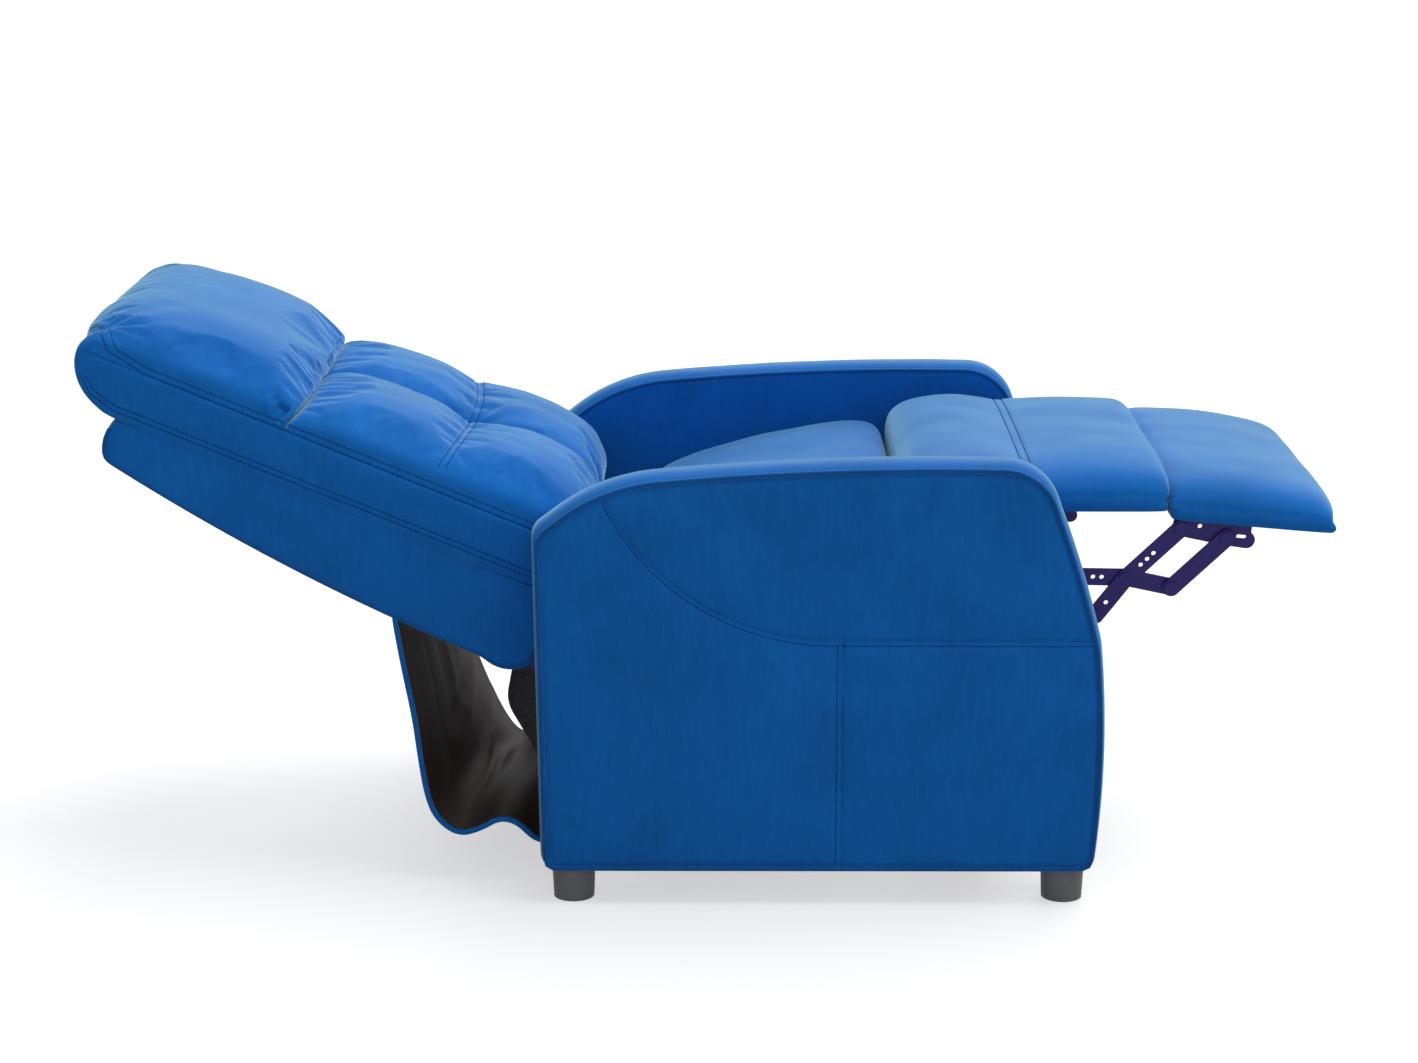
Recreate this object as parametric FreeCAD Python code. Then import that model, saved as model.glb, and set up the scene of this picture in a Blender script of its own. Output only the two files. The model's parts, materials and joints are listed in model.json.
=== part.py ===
# Push-back recliner chair in its fully reclined pose.
# Millimetres, +X to the front, +Z up, floor at z = 0, mid-plane at y = 0.
import math
import os

import FreeCAD
import Part

V = FreeCAD.Vector

# Overall sizes
WIDTH = 700.0
ARM_THICK = 70.0
ARM_REAR = -221.0
ARM_FRONT = 505.0
ARM_TOP = 578.0
ARM_CROWN = 8.0
ARM_SKIN = 12.0
SEAM_HEIGHT = 352.0
SEAM_GROOVE = 2.0
FOOT_HEIGHT = 48.0
FOOT_RADIUS = 28.0
FOOT_INSET = 48.5
BOARD_INSET = 12.0
MECHANISM_INSET = 15.0

# Steel sizes
STEEL = 4.0
LAYER_GAP = 1.0
ROD_GAP = 2.0
BASE_GAP = 4.0
LINK_HALF = 11.0
RIVET = 5.0
HEAD = 8.5
HEAD_THICK = 2.0
LINK_HOLE = 3.0
RUN = 0.05
SIDE_PLAY = 0.3

# Pivots in the side view, (x, z)
BACK_PIVOT = (-203.0, 350.0)
SEAT_PIVOT = (-60.0, 230.0)
LIFT_PIVOT = (293.4, 164.0)
DRIVE_PIVOT = (297.4, 384.6)
REAR_PIVOT = (333.0, 439.5)
MID_PIVOT = (411.0, 494.0)
CROSS_POINT = (534.0, 407.0)

# Motion in degrees
RECLINE = 52.0
SEAT_TILT = 7.0
LIFT_TURN = 20.0
BACK_ANGLE = 22.5

# Seat and footrest slopes
DECK_RISE = 0.287
DECK_REAR = 339.0
FOOT_DIP = 4.9

ARM_INNER = WIDTH / 2 - ARM_THICK
ARM_OUTER = WIDTH / 2
BASE_Y = ARM_INNER - STEEL
PAD_HALF = BASE_Y - BASE_GAP - STEEL - ROD_GAP - STEEL
BOARD_HALF = PAD_HALF - BOARD_INSET
LAYER = STEEL + LAYER_GAP
SEAT_Y = BOARD_HALF - MECHANISM_INSET
REAR_Y = SEAT_Y + LAYER
CROSS_Y = REAR_Y + LAYER
LONG_Y = CROSS_Y + LAYER
ROD_Y = PAD_HALF + STEEL + ROD_GAP


def polar(point, length, degrees):
    """The point at a length and angle from another, in the side view."""
    a = math.radians(degrees)
    return point[0] + length * math.cos(a), point[1] + length * math.sin(a)


def turned(point, centre, degrees):
    """A side-view point turned about a centre; positive lowers the front."""
    a = math.radians(degrees)
    x = point[0] - centre[0]
    z = point[1] - centre[1]
    return (centre[0] + x * math.cos(a) + z * math.sin(a),
            centre[1] - x * math.sin(a) + z * math.cos(a))


def deck(x):
    """Height of the seat deck at x."""
    return DECK_REAR + (x + 100.0) * DECK_RISE


def back(u, n):
    """Side-view point from u along the back and n in front of its pivot."""
    a = math.radians(BACK_ANGLE)
    return (BACK_PIVOT[0] - u * math.cos(a) + n * math.sin(a),
            BACK_PIVOT[1] + u * math.sin(a) + n * math.cos(a))


def foot(a, b):
    """Side-view point from a along the footrest board and b above its underside."""
    t = math.radians(FOOT_DIP)
    return (590.0 + a * math.cos(t) + b * math.sin(t),
            487.0 - a * math.sin(t) + b * math.cos(t))


def placed(path, frame):
    """Each (u, n) pair of a path carried into the side view."""
    out = []
    for step in path:
        pairs = [frame(step[i], step[i + 1]) for i in range(0, len(step), 2)]
        out.append(tuple(v for pair in pairs for v in pair))
    return out


def outline(path, y):
    """Closed wire at y: a start, then (x, z) lines or (xm, zm, x, z) arcs."""
    edges = []
    here = V(path[0][0], y, path[0][1])
    for step in path[1:] + path[:1]:
        end = V(step[-2], y, step[-1])
        if len(step) == 4:
            edges.append(Part.Arc(here, V(step[0], y, step[1]), end).toShape())
        elif here.distanceToPoint(end) > 0.01:
            edges.append(Part.makeLine(here, end))
        here = end
    return Part.Wire(edges)


def slab(path, y0, y1):
    """A side-view outline given its thickness between two y planes."""
    return Part.Face(outline(path, y0)).extrude(V(0, y1 - y0, 0))


def rod(point, radius, y0, y1):
    """Round bar across the chair."""
    return Part.makeCylinder(radius, y1 - y0, V(point[0], y0, point[1]), V(0, 1, 0))


def box(x0, x1, y0, y1, z0, z1):
    return Part.makeBox(x1 - x0, y1 - y0, z1 - z0, V(x0, y0, z0))


def strip(points, half, y0, y1):
    """Flat bar with round ends through side-view points."""
    shapes = [rod(p, half, y0, y1) for p in points]
    for a, b in zip(points, points[1:]):
        length = math.hypot(b[0] - a[0], b[1] - a[1])
        nx = -(b[1] - a[1]) / length * half
        nz = (b[0] - a[0]) / length * half
        shapes.append(slab([(a[0] + nx, a[1] + nz), (b[0] + nx, b[1] + nz),
                            (b[0] - nx, b[1] - nz), (a[0] - nx, a[1] - nz)], y0, y1))
    return shapes[0].multiFuse(shapes[1:]).removeSplitter()


def mirrored(shape):
    return shape.mirror(V(0, 0, 0), V(0, 1, 0))


def both(shape):
    """A left piece and its mirror image as one group."""
    return Part.makeCompound([shape, mirrored(shape)])


def cushion(section, stations):
    """Loft through side-view sections; stations run from the side to the middle."""
    half = [(s[0], section(*s[1:])) for s in stations]
    wires = [outline(path, -y) for y, path in half]
    wires += [outline(path, y) for y, path in reversed(half[:-1])]
    return Part.makeLoft(wires, True, False)


def rivet(point, y0, y1):
    """Headed pin through the plates between y0 and y1."""
    body = rod(point, RIVET, y0 - SIDE_PLAY, y1 + SIDE_PLAY)
    low = rod(point, HEAD, y0 - SIDE_PLAY - HEAD_THICK, y0 - SIDE_PLAY)
    high = rod(point, HEAD, y1 + SIDE_PLAY, y1 + SIDE_PLAY + HEAD_THICK)
    return body.multiFuse([low, high])


# Points of the footrest linkage
P1 = polar(CROSS_POINT, 95.0, 44.0)
Q = polar(CROSS_POINT, 60.0, -12.0)
P2 = polar(Q, 95.0, 44.0)
T = polar(CROSS_POINT, 61.4, 232.9)
R = polar(CROSS_POINT, 106.75, 179.0)

# Points of the recline linkage
CRANK = polar(BACK_PIVOT, 20.0, 270.0 + RECLINE / 2)
LIFT_PIN = polar(LIFT_PIVOT, 150.0, 115.0)
LIFT_JOINT = polar(LIFT_PIVOT, 75.0, 115.0)

nodes = {}

# Arms: skin panels over a plywood frame
ARM_PATH = [
    (ARM_REAR + 16, FOOT_HEIGHT),
    (ARM_FRONT - 21, FOOT_HEIGHT),
    (ARM_FRONT - 10.5, FOOT_HEIGHT + 3.5, ARM_FRONT - 7, FOOT_HEIGHT + 14),
    (ARM_FRONT, 205.0, ARM_FRONT - 8, 345.0),
    (ARM_FRONT - 32, 431.0, ARM_FRONT - 64, ARM_TOP - 56),
    (ARM_FRONT - 88, ARM_TOP - 17, ARM_FRONT - 139, ARM_TOP),
    (150.0, ARM_TOP - 2, ARM_REAR + 155, ARM_TOP - 16),
    (ARM_REAR + 71, ARM_TOP - 39, ARM_REAR + 16, ARM_TOP - 75),
    (ARM_REAR + 3, ARM_TOP - 87, ARM_REAR, ARM_TOP - 104),
    (ARM_REAR + 6, FOOT_HEIGHT + 10),
    (ARM_REAR + 9, FOOT_HEIGHT + 3, ARM_REAR + 16, FOOT_HEIGHT),
]


def arm_path(ends, low, high):
    """The arm outline drawn in at its ends, bottom and top."""
    mid = (ARM_REAR + ARM_FRONT) / 2
    kx = 1 - 2 * ends / (ARM_FRONT - ARM_REAR)
    kz = 1 - (low + high) / (ARM_TOP - FOOT_HEIGHT)
    out = []
    for step in ARM_PATH:
        xs = [mid + (v - mid) * kx for v in step[0::2]]
        zs = [FOOT_HEIGHT + low + (v - FOOT_HEIGHT) * kz for v in step[1::2]]
        out.append(tuple(v for pair in zip(xs, zs) for v in pair))
    return out


arm_edge = arm_path(ARM_CROWN, 0, ARM_CROWN)
arm_core = arm_path(ARM_SKIN + 4, ARM_SKIN, ARM_SKIN + 4)
arm_mid = (ARM_INNER + ARM_OUTER) / 2
arm_body = Part.makeLoft([outline(arm_edge, ARM_INNER), outline(arm_path(0, 0, 0), arm_mid),
                          outline(arm_edge, ARM_OUTER)], True, False)
arm_band = arm_body.cut(slab(arm_core, ARM_INNER - 1, ARM_OUTER + 1))
arm_inner = slab(arm_core, ARM_INNER, ARM_INNER + ARM_SKIN)
arm_frame = slab(arm_core, ARM_INNER + ARM_SKIN, ARM_OUTER - ARM_SKIN)
window_pitch = (ARM_FRONT - ARM_REAR - 246) / 3
window_mid = (FOOT_HEIGHT + ARM_TOP) / 2
for i in range(4):
    x = ARM_REAR + 56 + i * window_pitch
    arm_frame = arm_frame.cut(box(x, x + 120, ARM_INNER, ARM_OUTER,
                                  FOOT_HEIGHT + 142, window_mid + 27))
for i in range(3):
    x = ARM_REAR + 136 + i * window_pitch
    arm_frame = arm_frame.cut(box(x, x + 120, ARM_INNER, ARM_OUTER,
                                  window_mid + 77, ARM_TOP - 68))

# The outer panel is cut along its sewn seams
arm_outer = slab(arm_core, ARM_OUTER - ARM_SKIN, ARM_OUTER)
seam_high = SEAM_HEIGHT + SEAM_GROOVE / 2
seam_low = SEAM_HEIGHT - SEAM_GROOVE / 2
seam_end = ARM_REAR + 387
seam = slab([(ARM_REAR + 86, ARM_TOP - 33), (ARM_REAR + 187, ARM_TOP - 160, seam_end, seam_high),
             (ARM_FRONT, seam_high), (ARM_FRONT, seam_low), (seam_end, seam_low),
             (ARM_REAR + 185, ARM_TOP - 162, ARM_REAR + 83, ARM_TOP - 34)],
            ARM_OUTER - ARM_SKIN - 1, ARM_OUTER + 1)
upright_seam = box(seam_end + 3, seam_end + 3 + SEAM_GROOVE, ARM_OUTER - ARM_SKIN - 1, ARM_OUTER + 1,
                   FOOT_HEIGHT, SEAM_HEIGHT)
arm_outer = arm_outer.cut(seam).cut(upright_seam)

# Feet with moulded-in studs
feet = {}
for end, x in (("rear", ARM_REAR + FOOT_INSET), ("front", ARM_FRONT - FOOT_INSET)):
    pad = Part.makeCone(FOOT_RADIUS - 2, FOOT_RADIUS, FOOT_HEIGHT, V(x, arm_mid, 0))
    stud = Part.makeCylinder(4, 50, V(x, arm_mid, FOOT_HEIGHT))
    feet[end] = pad.fuse(stud)
    arm_band = arm_band.cut(stud)
    arm_frame = arm_frame.cut(stud)

# Base rails and the bolts through the arm frames
front_rail = box(345, 405, -ARM_INNER, ARM_INNER, FOOT_HEIGHT + 4, FOOT_HEIGHT + 34)
rear_rail = box(ARM_REAR + 7, ARM_REAR + 49, -ARM_INNER, ARM_INNER,
                FOOT_HEIGHT + 4, FOOT_HEIGHT + 74)
rail_bolts = []
for x, z in ((360, FOOT_HEIGHT + 19), (390, FOOT_HEIGHT + 19),
             (ARM_REAR + 28, FOOT_HEIGHT + 24), (ARM_REAR + 28, FOOT_HEIGHT + 56)):
    bolt = rod((x, z), 4, ARM_INNER - 50, ARM_OUTER - ARM_SKIN)
    rail_bolts.append(bolt)
    arm_frame = arm_frame.cut(bolt)
    arm_inner = arm_inner.cut(bolt)
    front_rail = front_rail.cut(both(bolt))
    rear_rail = rear_rail.cut(both(bolt))

# Base plates carry the back, the seat and the lift links
base_level = FOOT_HEIGHT + 102
base_low = (ARM_REAR + 33, base_level)
base_plate = strip([BACK_PIVOT, base_low], 18, BASE_Y, ARM_INNER)
base_plate = base_plate.fuse(strip([base_low, (300.0, base_level)], 20, BASE_Y, ARM_INNER))
base_plate = base_plate.fuse(strip([(SEAT_PIVOT[0], base_level), SEAT_PIVOT], 18, BASE_Y, ARM_INNER))
base_plate = base_plate.fuse(strip([(LIFT_PIVOT[0], base_level), LIFT_PIVOT], 18, BASE_Y, ARM_INNER))
base_plate = base_plate.removeSplitter()
base_plate = base_plate.cut(rod(BACK_PIVOT, 6 + RUN, BASE_Y - 1, ARM_INNER + 1))
base_plate = base_plate.cut(rod(SEAT_PIVOT, 6 + RUN, BASE_Y - 1, ARM_INNER + 1))
base_plate = base_plate.cut(rod(LIFT_PIVOT, 6, BASE_Y - 1, ARM_INNER + 1))
base_screws = []
for point in ((ARM_REAR + 31, 240.0), (-130.0, base_level), (20.0, base_level), (220.0, base_level)):
    shank = rod(point, 3, BASE_Y, ARM_INNER + 40)
    head = rod(point, 6, BASE_Y - 2, BASE_Y)
    base_screws.append(shank.fuse(head))
    base_plate = base_plate.cut(shank)
    arm_inner = arm_inner.cut(shank)
    arm_frame = arm_frame.cut(shank)
lift_pin = rod(LIFT_PIVOT, 6, PAD_HALF - SIDE_PLAY, ARM_INNER)
lift_pin = lift_pin.fuse(rod(LIFT_PIVOT, 9, PAD_HALF + STEEL + SIDE_PLAY, BASE_Y))
lift_pin = lift_pin.fuse(rod(LIFT_PIVOT, 9, PAD_HALF - SIDE_PLAY - 2, PAD_HALF - SIDE_PLAY))

# Dust cloth standing on the rear rail
cloth_foot = (ARM_REAR + 7, FOOT_HEIGHT + 74)
cloth_side = PAD_HALF - 7
dust_cloth = slab([cloth_foot, (ARM_REAR - 28, 240.0), (ARM_REAR - 25, 268.0), (ARM_REAR - 23, 268.0),
                   (ARM_REAR - 26, 240.0), (cloth_foot[0] + 3, cloth_foot[1])],
                  -cloth_side, cloth_side)

for name, shape in (("arm_frame", arm_frame), ("arm_band", arm_band),
                    ("arm_outer_panel", arm_outer), ("arm_inner_panel", arm_inner),
                    ("foot_rear", feet["rear"]), ("foot_front", feet["front"])):
    nodes[name + "_left"] = shape
    nodes[name + "_right"] = mirrored(shape)
nodes["front_rail"] = front_rail
nodes["rear_rail"] = rear_rail
nodes["rail_bolts"] = both(Part.makeCompound(rail_bolts))
nodes["base_plates"] = both(base_plate)
nodes["base_screws"] = both(Part.makeCompound(base_screws))
nodes["lift_pivot_pins"] = both(lift_pin)
nodes["dust_cloth"] = dust_cloth

# Rear skirt: cloth hung from the shell to the foot of the base
SKIRT = [(-401.5, 355.6), (-398, 329), (-389, 275), (-379, 221), (-373, 167),
         (-365, 112), (-352, 82), (-325, 62), (-297, 70), (-272, 85), (-249, 80),
         (ARM_REAR - 7, FOOT_HEIGHT + 10), (ARM_REAR + 6.1, FOOT_HEIGHT + 6)]


def ribbon(points, thick):
    """Outline of a cloth edge: a curve through the points and its offset."""
    near = []
    far = []
    for i, (x, z) in enumerate(points):
        a = points[max(i - 1, 0)]
        b = points[min(i + 1, len(points) - 1)]
        length = math.hypot(b[0] - a[0], b[1] - a[1])
        nx = (b[1] - a[1]) / length * thick / 2
        nz = -(b[0] - a[0]) / length * thick / 2
        near.append(V(x + nx, -PAD_HALF, z + nz))
        far.append(V(x - nx, -PAD_HALF, z - nz))
    far.reverse()
    curves = []
    for run in (near, far):
        spline = Part.BSplineCurve()
        spline.interpolate(run)
        curves.append(spline.toShape())
    return Part.Wire([curves[0], Part.makeLine(near[-1], far[0]),
                      curves[1], Part.makeLine(far[-1], near[0])])


nodes["rear_skirt"] = Part.Face(ribbon(SKIRT, 2.5)).extrude(V(0, 2 * PAD_HALF, 0))

# Seat frame
rail_top = 398.0
seat_rear = -70.0
seat_rail = slab([(seat_rear, deck(seat_rear) - 55), (rail_top, deck(rail_top) - 55),
                  (rail_top, deck(rail_top)), (seat_rear, deck(seat_rear))], SEAT_Y - 30, SEAT_Y)


def cross_rail(x0, x1):
    return slab([(x0, deck(x0) - 55), (x1, deck(x1) - 55), (x1, deck(x1)), (x0, deck(x0))],
                30 - SEAT_Y, SEAT_Y - 30)


seat_webbing = []
for y in (-160, -80, 0, 80, 160):
    seat_webbing.append(slab([(seat_rear, deck(seat_rear)), (rail_top, deck(rail_top)),
                              (rail_top, deck(rail_top) + 2.5),
                              (seat_rear, deck(seat_rear) + 2.5)], y - 25, y + 25))

# Seat plates, with a slot along the path of the lift pin
slot = []
for i in range(5):
    t = i / 4
    pin = turned(LIFT_PIN, LIFT_PIVOT, -LIFT_TURN * t)
    slot.append(turned(pin, SEAT_PIVOT, -SEAT_TILT * t))
seat_plate = strip([SEAT_PIVOT, slot[-1]], 22, SEAT_Y, SEAT_Y + STEEL)
for run in ([slot[-1], slot[0], DRIVE_PIVOT], [slot[-1], (130.0, deck(130) - 30)],
            [DRIVE_PIVOT, REAR_PIVOT], [SEAT_PIVOT, (-20.0, deck(-20) - 30)]):
    seat_plate = seat_plate.fuse(strip(run, 18, SEAT_Y, SEAT_Y + STEEL))
seat_plate = seat_plate.fuse(strip([REAR_PIVOT, MID_PIVOT], 9, SEAT_Y, SEAT_Y + STEEL))
seat_plate = seat_plate.removeSplitter()
seat_plate = seat_plate.cut(strip(slot, RIVET + SIDE_PLAY, SEAT_Y - 1, SEAT_Y + STEEL + 1))
seat_plate = seat_plate.cut(rod(SEAT_PIVOT, 11, SEAT_Y - 1, SEAT_Y + STEEL + 1))
for point in (DRIVE_PIVOT, REAR_PIVOT, MID_PIVOT):
    seat_plate = seat_plate.cut(rod(point, RIVET, SEAT_Y - 1, SEAT_Y + STEEL + 1))
seat_screws = []
for x in (-20.0, 130.0, 305.0):
    point = (x, deck(x) - 30)
    shank = rod(point, 3, SEAT_Y - 24, SEAT_Y + STEEL)
    seat_screws.append(shank.fuse(rod(point, 6, SEAT_Y + STEEL, SEAT_Y + STEEL + 0.8)))
    seat_plate = seat_plate.cut(shank)
    seat_rail = seat_rail.cut(shank)

# Torque tube: the seat turns on its stepped ends
tube_end = BASE_Y - SIDE_PLAY
torque_tube = rod(SEAT_PIVOT, 11, -tube_end, tube_end)
torque_tube = torque_tube.fuse(rod(SEAT_PIVOT, 6, SIDE_PLAY - ARM_INNER, ARM_INNER - SIDE_PLAY))

drive_pin = rod(DRIVE_PIVOT, RIVET, SEAT_Y, CROSS_Y + STEEL + SIDE_PLAY)
drive_pin = drive_pin.fuse(rod(DRIVE_PIVOT, HEAD, SEAT_Y + STEEL, CROSS_Y - SIDE_PLAY))
drive_top = CROSS_Y + STEEL + SIDE_PLAY
drive_pin = drive_pin.fuse(rod(DRIVE_PIVOT, HEAD, drive_top, drive_top + HEAD_THICK))
rear_top = REAR_Y + STEEL + SIDE_PLAY
rear_pin = rod(REAR_PIVOT, RIVET, SEAT_Y, rear_top)
rear_pin = rear_pin.fuse(rod(REAR_PIVOT, HEAD, SEAT_Y + STEEL, REAR_Y - SIDE_PLAY))
rear_pin = rear_pin.fuse(rod(REAR_PIVOT, HEAD, rear_top, rear_top + HEAD_THICK))
mid_pin = rod(MID_PIVOT, RIVET, SEAT_Y, rear_top)
mid_pin = mid_pin.fuse(rod(MID_PIVOT, HEAD - 1, rear_top, rear_top + HEAD_THICK))


def seat_section(rise):
    return [(-58, deck(-58) + 3), (238, deck(238) + 3), (246, 474, 226, 509 + rise),
            (80, 491 + rise, -74, 439 + rise), (-80, 400, -58, deck(-58) + 3)]


def roll_section(rise):
    return [(256, deck(256) + 3), (408, deck(408) + 3), (409, 538 + rise),
            (345, 548 + rise, 290, 541 + rise), (258, 528 + rise / 2, 250, 490)]


seat_cushion = cushion(seat_section, [(PAD_HALF, -16), (PAD_HALF - 26, -1), (110, 9), (0, 10)])
front_roll = cushion(roll_section, [(PAD_HALF, -20), (PAD_HALF - 26, -3), (110, 3), (0, 4)])
hinge_gap = both(rod(MID_PIVOT, 12, SEAT_Y - 2, rear_top + HEAD_THICK + 1))
front_roll = front_roll.cut(hinge_gap)
front_roll = front_roll.cut(both(strip([REAR_PIVOT, MID_PIVOT], 10, SEAT_Y - 1, REAR_Y)))

nodes["seat_rail_left"] = seat_rail
nodes["seat_rail_right"] = mirrored(seat_rail)
nodes["seat_front_rail"] = cross_rail(rail_top - 24, rail_top)
nodes["seat_rear_rail"] = cross_rail(seat_rear, seat_rear + 24)
nodes["seat_webbing"] = Part.makeCompound(seat_webbing)
nodes["seat_plates"] = both(seat_plate)
nodes["seat_screws"] = both(Part.makeCompound(seat_screws))
nodes["torque_tube"] = torque_tube
nodes["seat_pivot_pins"] = both(Part.makeCompound([drive_pin, rear_pin, mid_pin]))
nodes["seat_cushion"] = seat_cushion
nodes["front_roll"] = front_roll

# Back shell: a padded tray, open to the front
SHELL_FRONT = 36.0
SHELL_TOP = 606.0
shell_out = [(-8, SHELL_FRONT), (SHELL_TOP, SHELL_FRONT), (SHELL_TOP + 5, 12, SHELL_TOP - 4, -16),
             (330, -58, 60, -74), (10, -70, -8, -40)]
shell_in = [(0, SHELL_FRONT + 9), (SHELL_TOP - 8, SHELL_FRONT + 9), (SHELL_TOP - 8, -8),
            (330, -50, 60, -66), (16, -62, 0, -36)]
back_shell = slab(placed(shell_out, back), -PAD_HALF, PAD_HALF)
back_shell = back_shell.cut(slab(placed(shell_in, back), 6 - PAD_HALF, PAD_HALF - 6))

# Back frame inside the shell
stile_front = SHELL_FRONT - 2.5
stile_side = PAD_HALF - 6


def back_bar(u0, u1, n0, n1, y0, y1):
    return slab(placed([(u0, n0), (u1, n0), (u1, n1), (u0, n1)], back), y0, y1)


stile = back_bar(0, SHELL_TOP - 8, -8, stile_front, stile_side - 28, stile_side)
inner_side = stile_side - 28
back_webbing = []
for i in range(6):
    u = 90 + i * (SHELL_TOP - 206) / 5
    back_webbing.append(back_bar(u, u + 50, stile_front, SHELL_FRONT, -stile_side, stile_side))

# Back brackets and pivot pins at the shell sides
bracket_tail = (ARM_REAR + 5, 296.0)
bracket_y = PAD_HALF + STEEL
back_bracket = strip([BACK_PIVOT, back(18, 24)], 12, PAD_HALF, bracket_y)
back_bracket = back_bracket.fuse(strip([BACK_PIVOT, bracket_tail], 12, PAD_HALF, bracket_y))
back_bracket = back_bracket.fuse(strip([BACK_PIVOT, CRANK], 9, PAD_HALF, bracket_y))
back_bracket = back_bracket.removeSplitter()
pivot_pin = rod(BACK_PIVOT, 6, PAD_HALF, ARM_INNER - SIDE_PLAY)
pivot_pin = pivot_pin.fuse(rod(BACK_PIVOT, 9, bracket_y, BASE_Y - SIDE_PLAY))
crank_pin = rod(CRANK, 4, PAD_HALF, ROD_Y + STEEL + SIDE_PLAY)
bracket_screws = []
for point in (back(18, 4), back(18, 26)):
    shank = rod(point, 3, PAD_HALF - 30, bracket_y)
    bracket_screws.append(shank.fuse(rod(point, 5, bracket_y, bracket_y + 1.5)))
    back_bracket = back_bracket.cut(shank)
    back_shell = back_shell.cut(both(shank))
    stile = stile.cut(shank)
back_bracket = back_bracket.cut(rod(BACK_PIVOT, 6, PAD_HALF - 1, bracket_y + 1))
back_bracket = back_bracket.cut(rod(CRANK, 4, PAD_HALF - 1, bracket_y + 1))

# Back cushions
LUMBAR_TOP = 394.0
TUFT_LINE = 208.0
HEAD_OVERHANG = 77.0
HEAD_END = SHELL_TOP + HEAD_OVERHANG


def lumbar_section(crown, dip, edge):
    low = SHELL_FRONT + 0.3
    half = TUFT_LINE / 2
    rest = (LUMBAR_TOP + TUFT_LINE) / 2
    path = [(-6, low), (LUMBAR_TOP - 2, low), (LUMBAR_TOP, edge), (rest, crown, TUFT_LINE, dip),
            (half, crown, -8, edge), (-14, 70, -6, low)]
    return placed(path, back)


def pillow_section(crown, edge, shoulder):
    low = SHELL_FRONT + 0.3
    path = [(LUMBAR_TOP + 5, low), (SHELL_TOP, low), (HEAD_END - 20, 56, HEAD_END, 104),
            (HEAD_END - 3, 132, HEAD_END - 24, shoulder), (HEAD_END - 138, crown, LUMBAR_TOP + 10, edge)]
    return placed(path, back)


lumbar_cushion = cushion(lumbar_section, [
    (PAD_HALF, 113, 108, 100), (PAD_HALF - 22, 138, 124, 108), (130, 156, 132, 112),
    (26, 143, 118, 108), (0, 134, 110, 106)])
head_pillow = cushion(pillow_section, [
    (PAD_HALF, 134, 106, 138), (PAD_HALF - 30, 176, 118, 160), (120, 199, 126, 168),
    (0, 202, 128, 170)])

nodes["back_shell"] = back_shell
nodes["back_stile_left"] = stile
nodes["back_stile_right"] = mirrored(stile)
nodes["back_top_rail"] = back_bar(SHELL_TOP - 48, SHELL_TOP - 8, -8, stile_front,
                                  -inner_side, inner_side)
nodes["back_bottom_rail"] = back_bar(0, 46, -8, stile_front, -inner_side, inner_side)
nodes["back_webbing"] = Part.makeCompound(back_webbing)
nodes["back_brackets"] = both(back_bracket)
nodes["back_pivot_pins"] = both(Part.makeCompound([pivot_pin, crank_pin]))
nodes["bracket_screws"] = both(Part.makeCompound(bracket_screws))
nodes["lumbar_cushion"] = lumbar_cushion
nodes["head_pillow"] = head_pillow

# Lift links with welded pins, and the rods that turn them
lift_link = strip([LIFT_PIVOT, LIFT_PIN], LINK_HALF, PAD_HALF, PAD_HALF + STEEL)
lift_link = lift_link.cut(rod(LIFT_PIVOT, 6 + RUN, PAD_HALF - 1, PAD_HALF + STEEL + 1))
lift_link = lift_link.fuse(rod(LIFT_PIN, RIVET, SEAT_Y - SIDE_PLAY, PAD_HALF))
lift_link = lift_link.fuse(rod(LIFT_PIN, HEAD, SEAT_Y - SIDE_PLAY - 2, SEAT_Y - SIDE_PLAY))
rod_out = ROD_Y + STEEL
lift_link = lift_link.fuse(rod(LIFT_JOINT, 4, PAD_HALF + STEEL, rod_out + SIDE_PLAY))
lift_link = lift_link.fuse(rod(LIFT_JOINT, 9, rod_out + SIDE_PLAY, rod_out + SIDE_PLAY + 1.5))
recline_rod = strip([CRANK, LIFT_JOINT], 8, ROD_Y, rod_out)
recline_rod = recline_rod.fuse(rod(LIFT_JOINT, 12, ROD_Y, rod_out)).removeSplitter()
recline_rod = recline_rod.cut(rod(CRANK, 4 + RUN, ROD_Y - 1, rod_out + 1))
recline_rod = recline_rod.cut(rod(LIFT_JOINT, 7.5, ROD_Y - 1, rod_out + 1))
nodes["lift_links"] = both(lift_link)
nodes["recline_rods"] = both(recline_rod)


def link(points, y, fixed, running):
    """Flat link with tight holes for its own rivets and running holes for others."""
    bar = strip(points, LINK_HALF, y, y + STEEL)
    for point in fixed:
        bar = bar.cut(rod(point, RIVET, y - 1, y + STEEL + 1))
    for point in running:
        bar = bar.cut(rod(point, RIVET + RUN, y - 1, y + STEEL + 1))
    return bar


# Footrest linkage
long_top = LONG_Y + STEEL
drive_link = link([DRIVE_PIVOT, T], CROSS_Y, [T], [DRIVE_PIVOT])
long_link = link([T, CROSS_POINT, P1], LONG_Y, [CROSS_POINT, P1], [T])
cross_link = link([R, CROSS_POINT, Q], CROSS_Y, [Q], [CROSS_POINT])
cross_link = cross_link.cut(rod(R, RIVET + 0.6, CROSS_Y - 1, CROSS_Y + STEEL + 1))
for reach in (30.0, 41.0):
    cross_link = cross_link.cut(rod(polar(CROSS_POINT, reach, 179.0), LINK_HOLE,
                                    CROSS_Y - 1, CROSS_Y + STEEL + 1))
for reach, angle in ((26.0, 44.0), (37.0, 44.0), (48.0, 44.0), (40.0, 232.9)):
    long_link = long_link.cut(rod(polar(CROSS_POINT, reach, angle), LINK_HOLE,
                                  LONG_Y - 1, LONG_Y + STEEL + 1))
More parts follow.
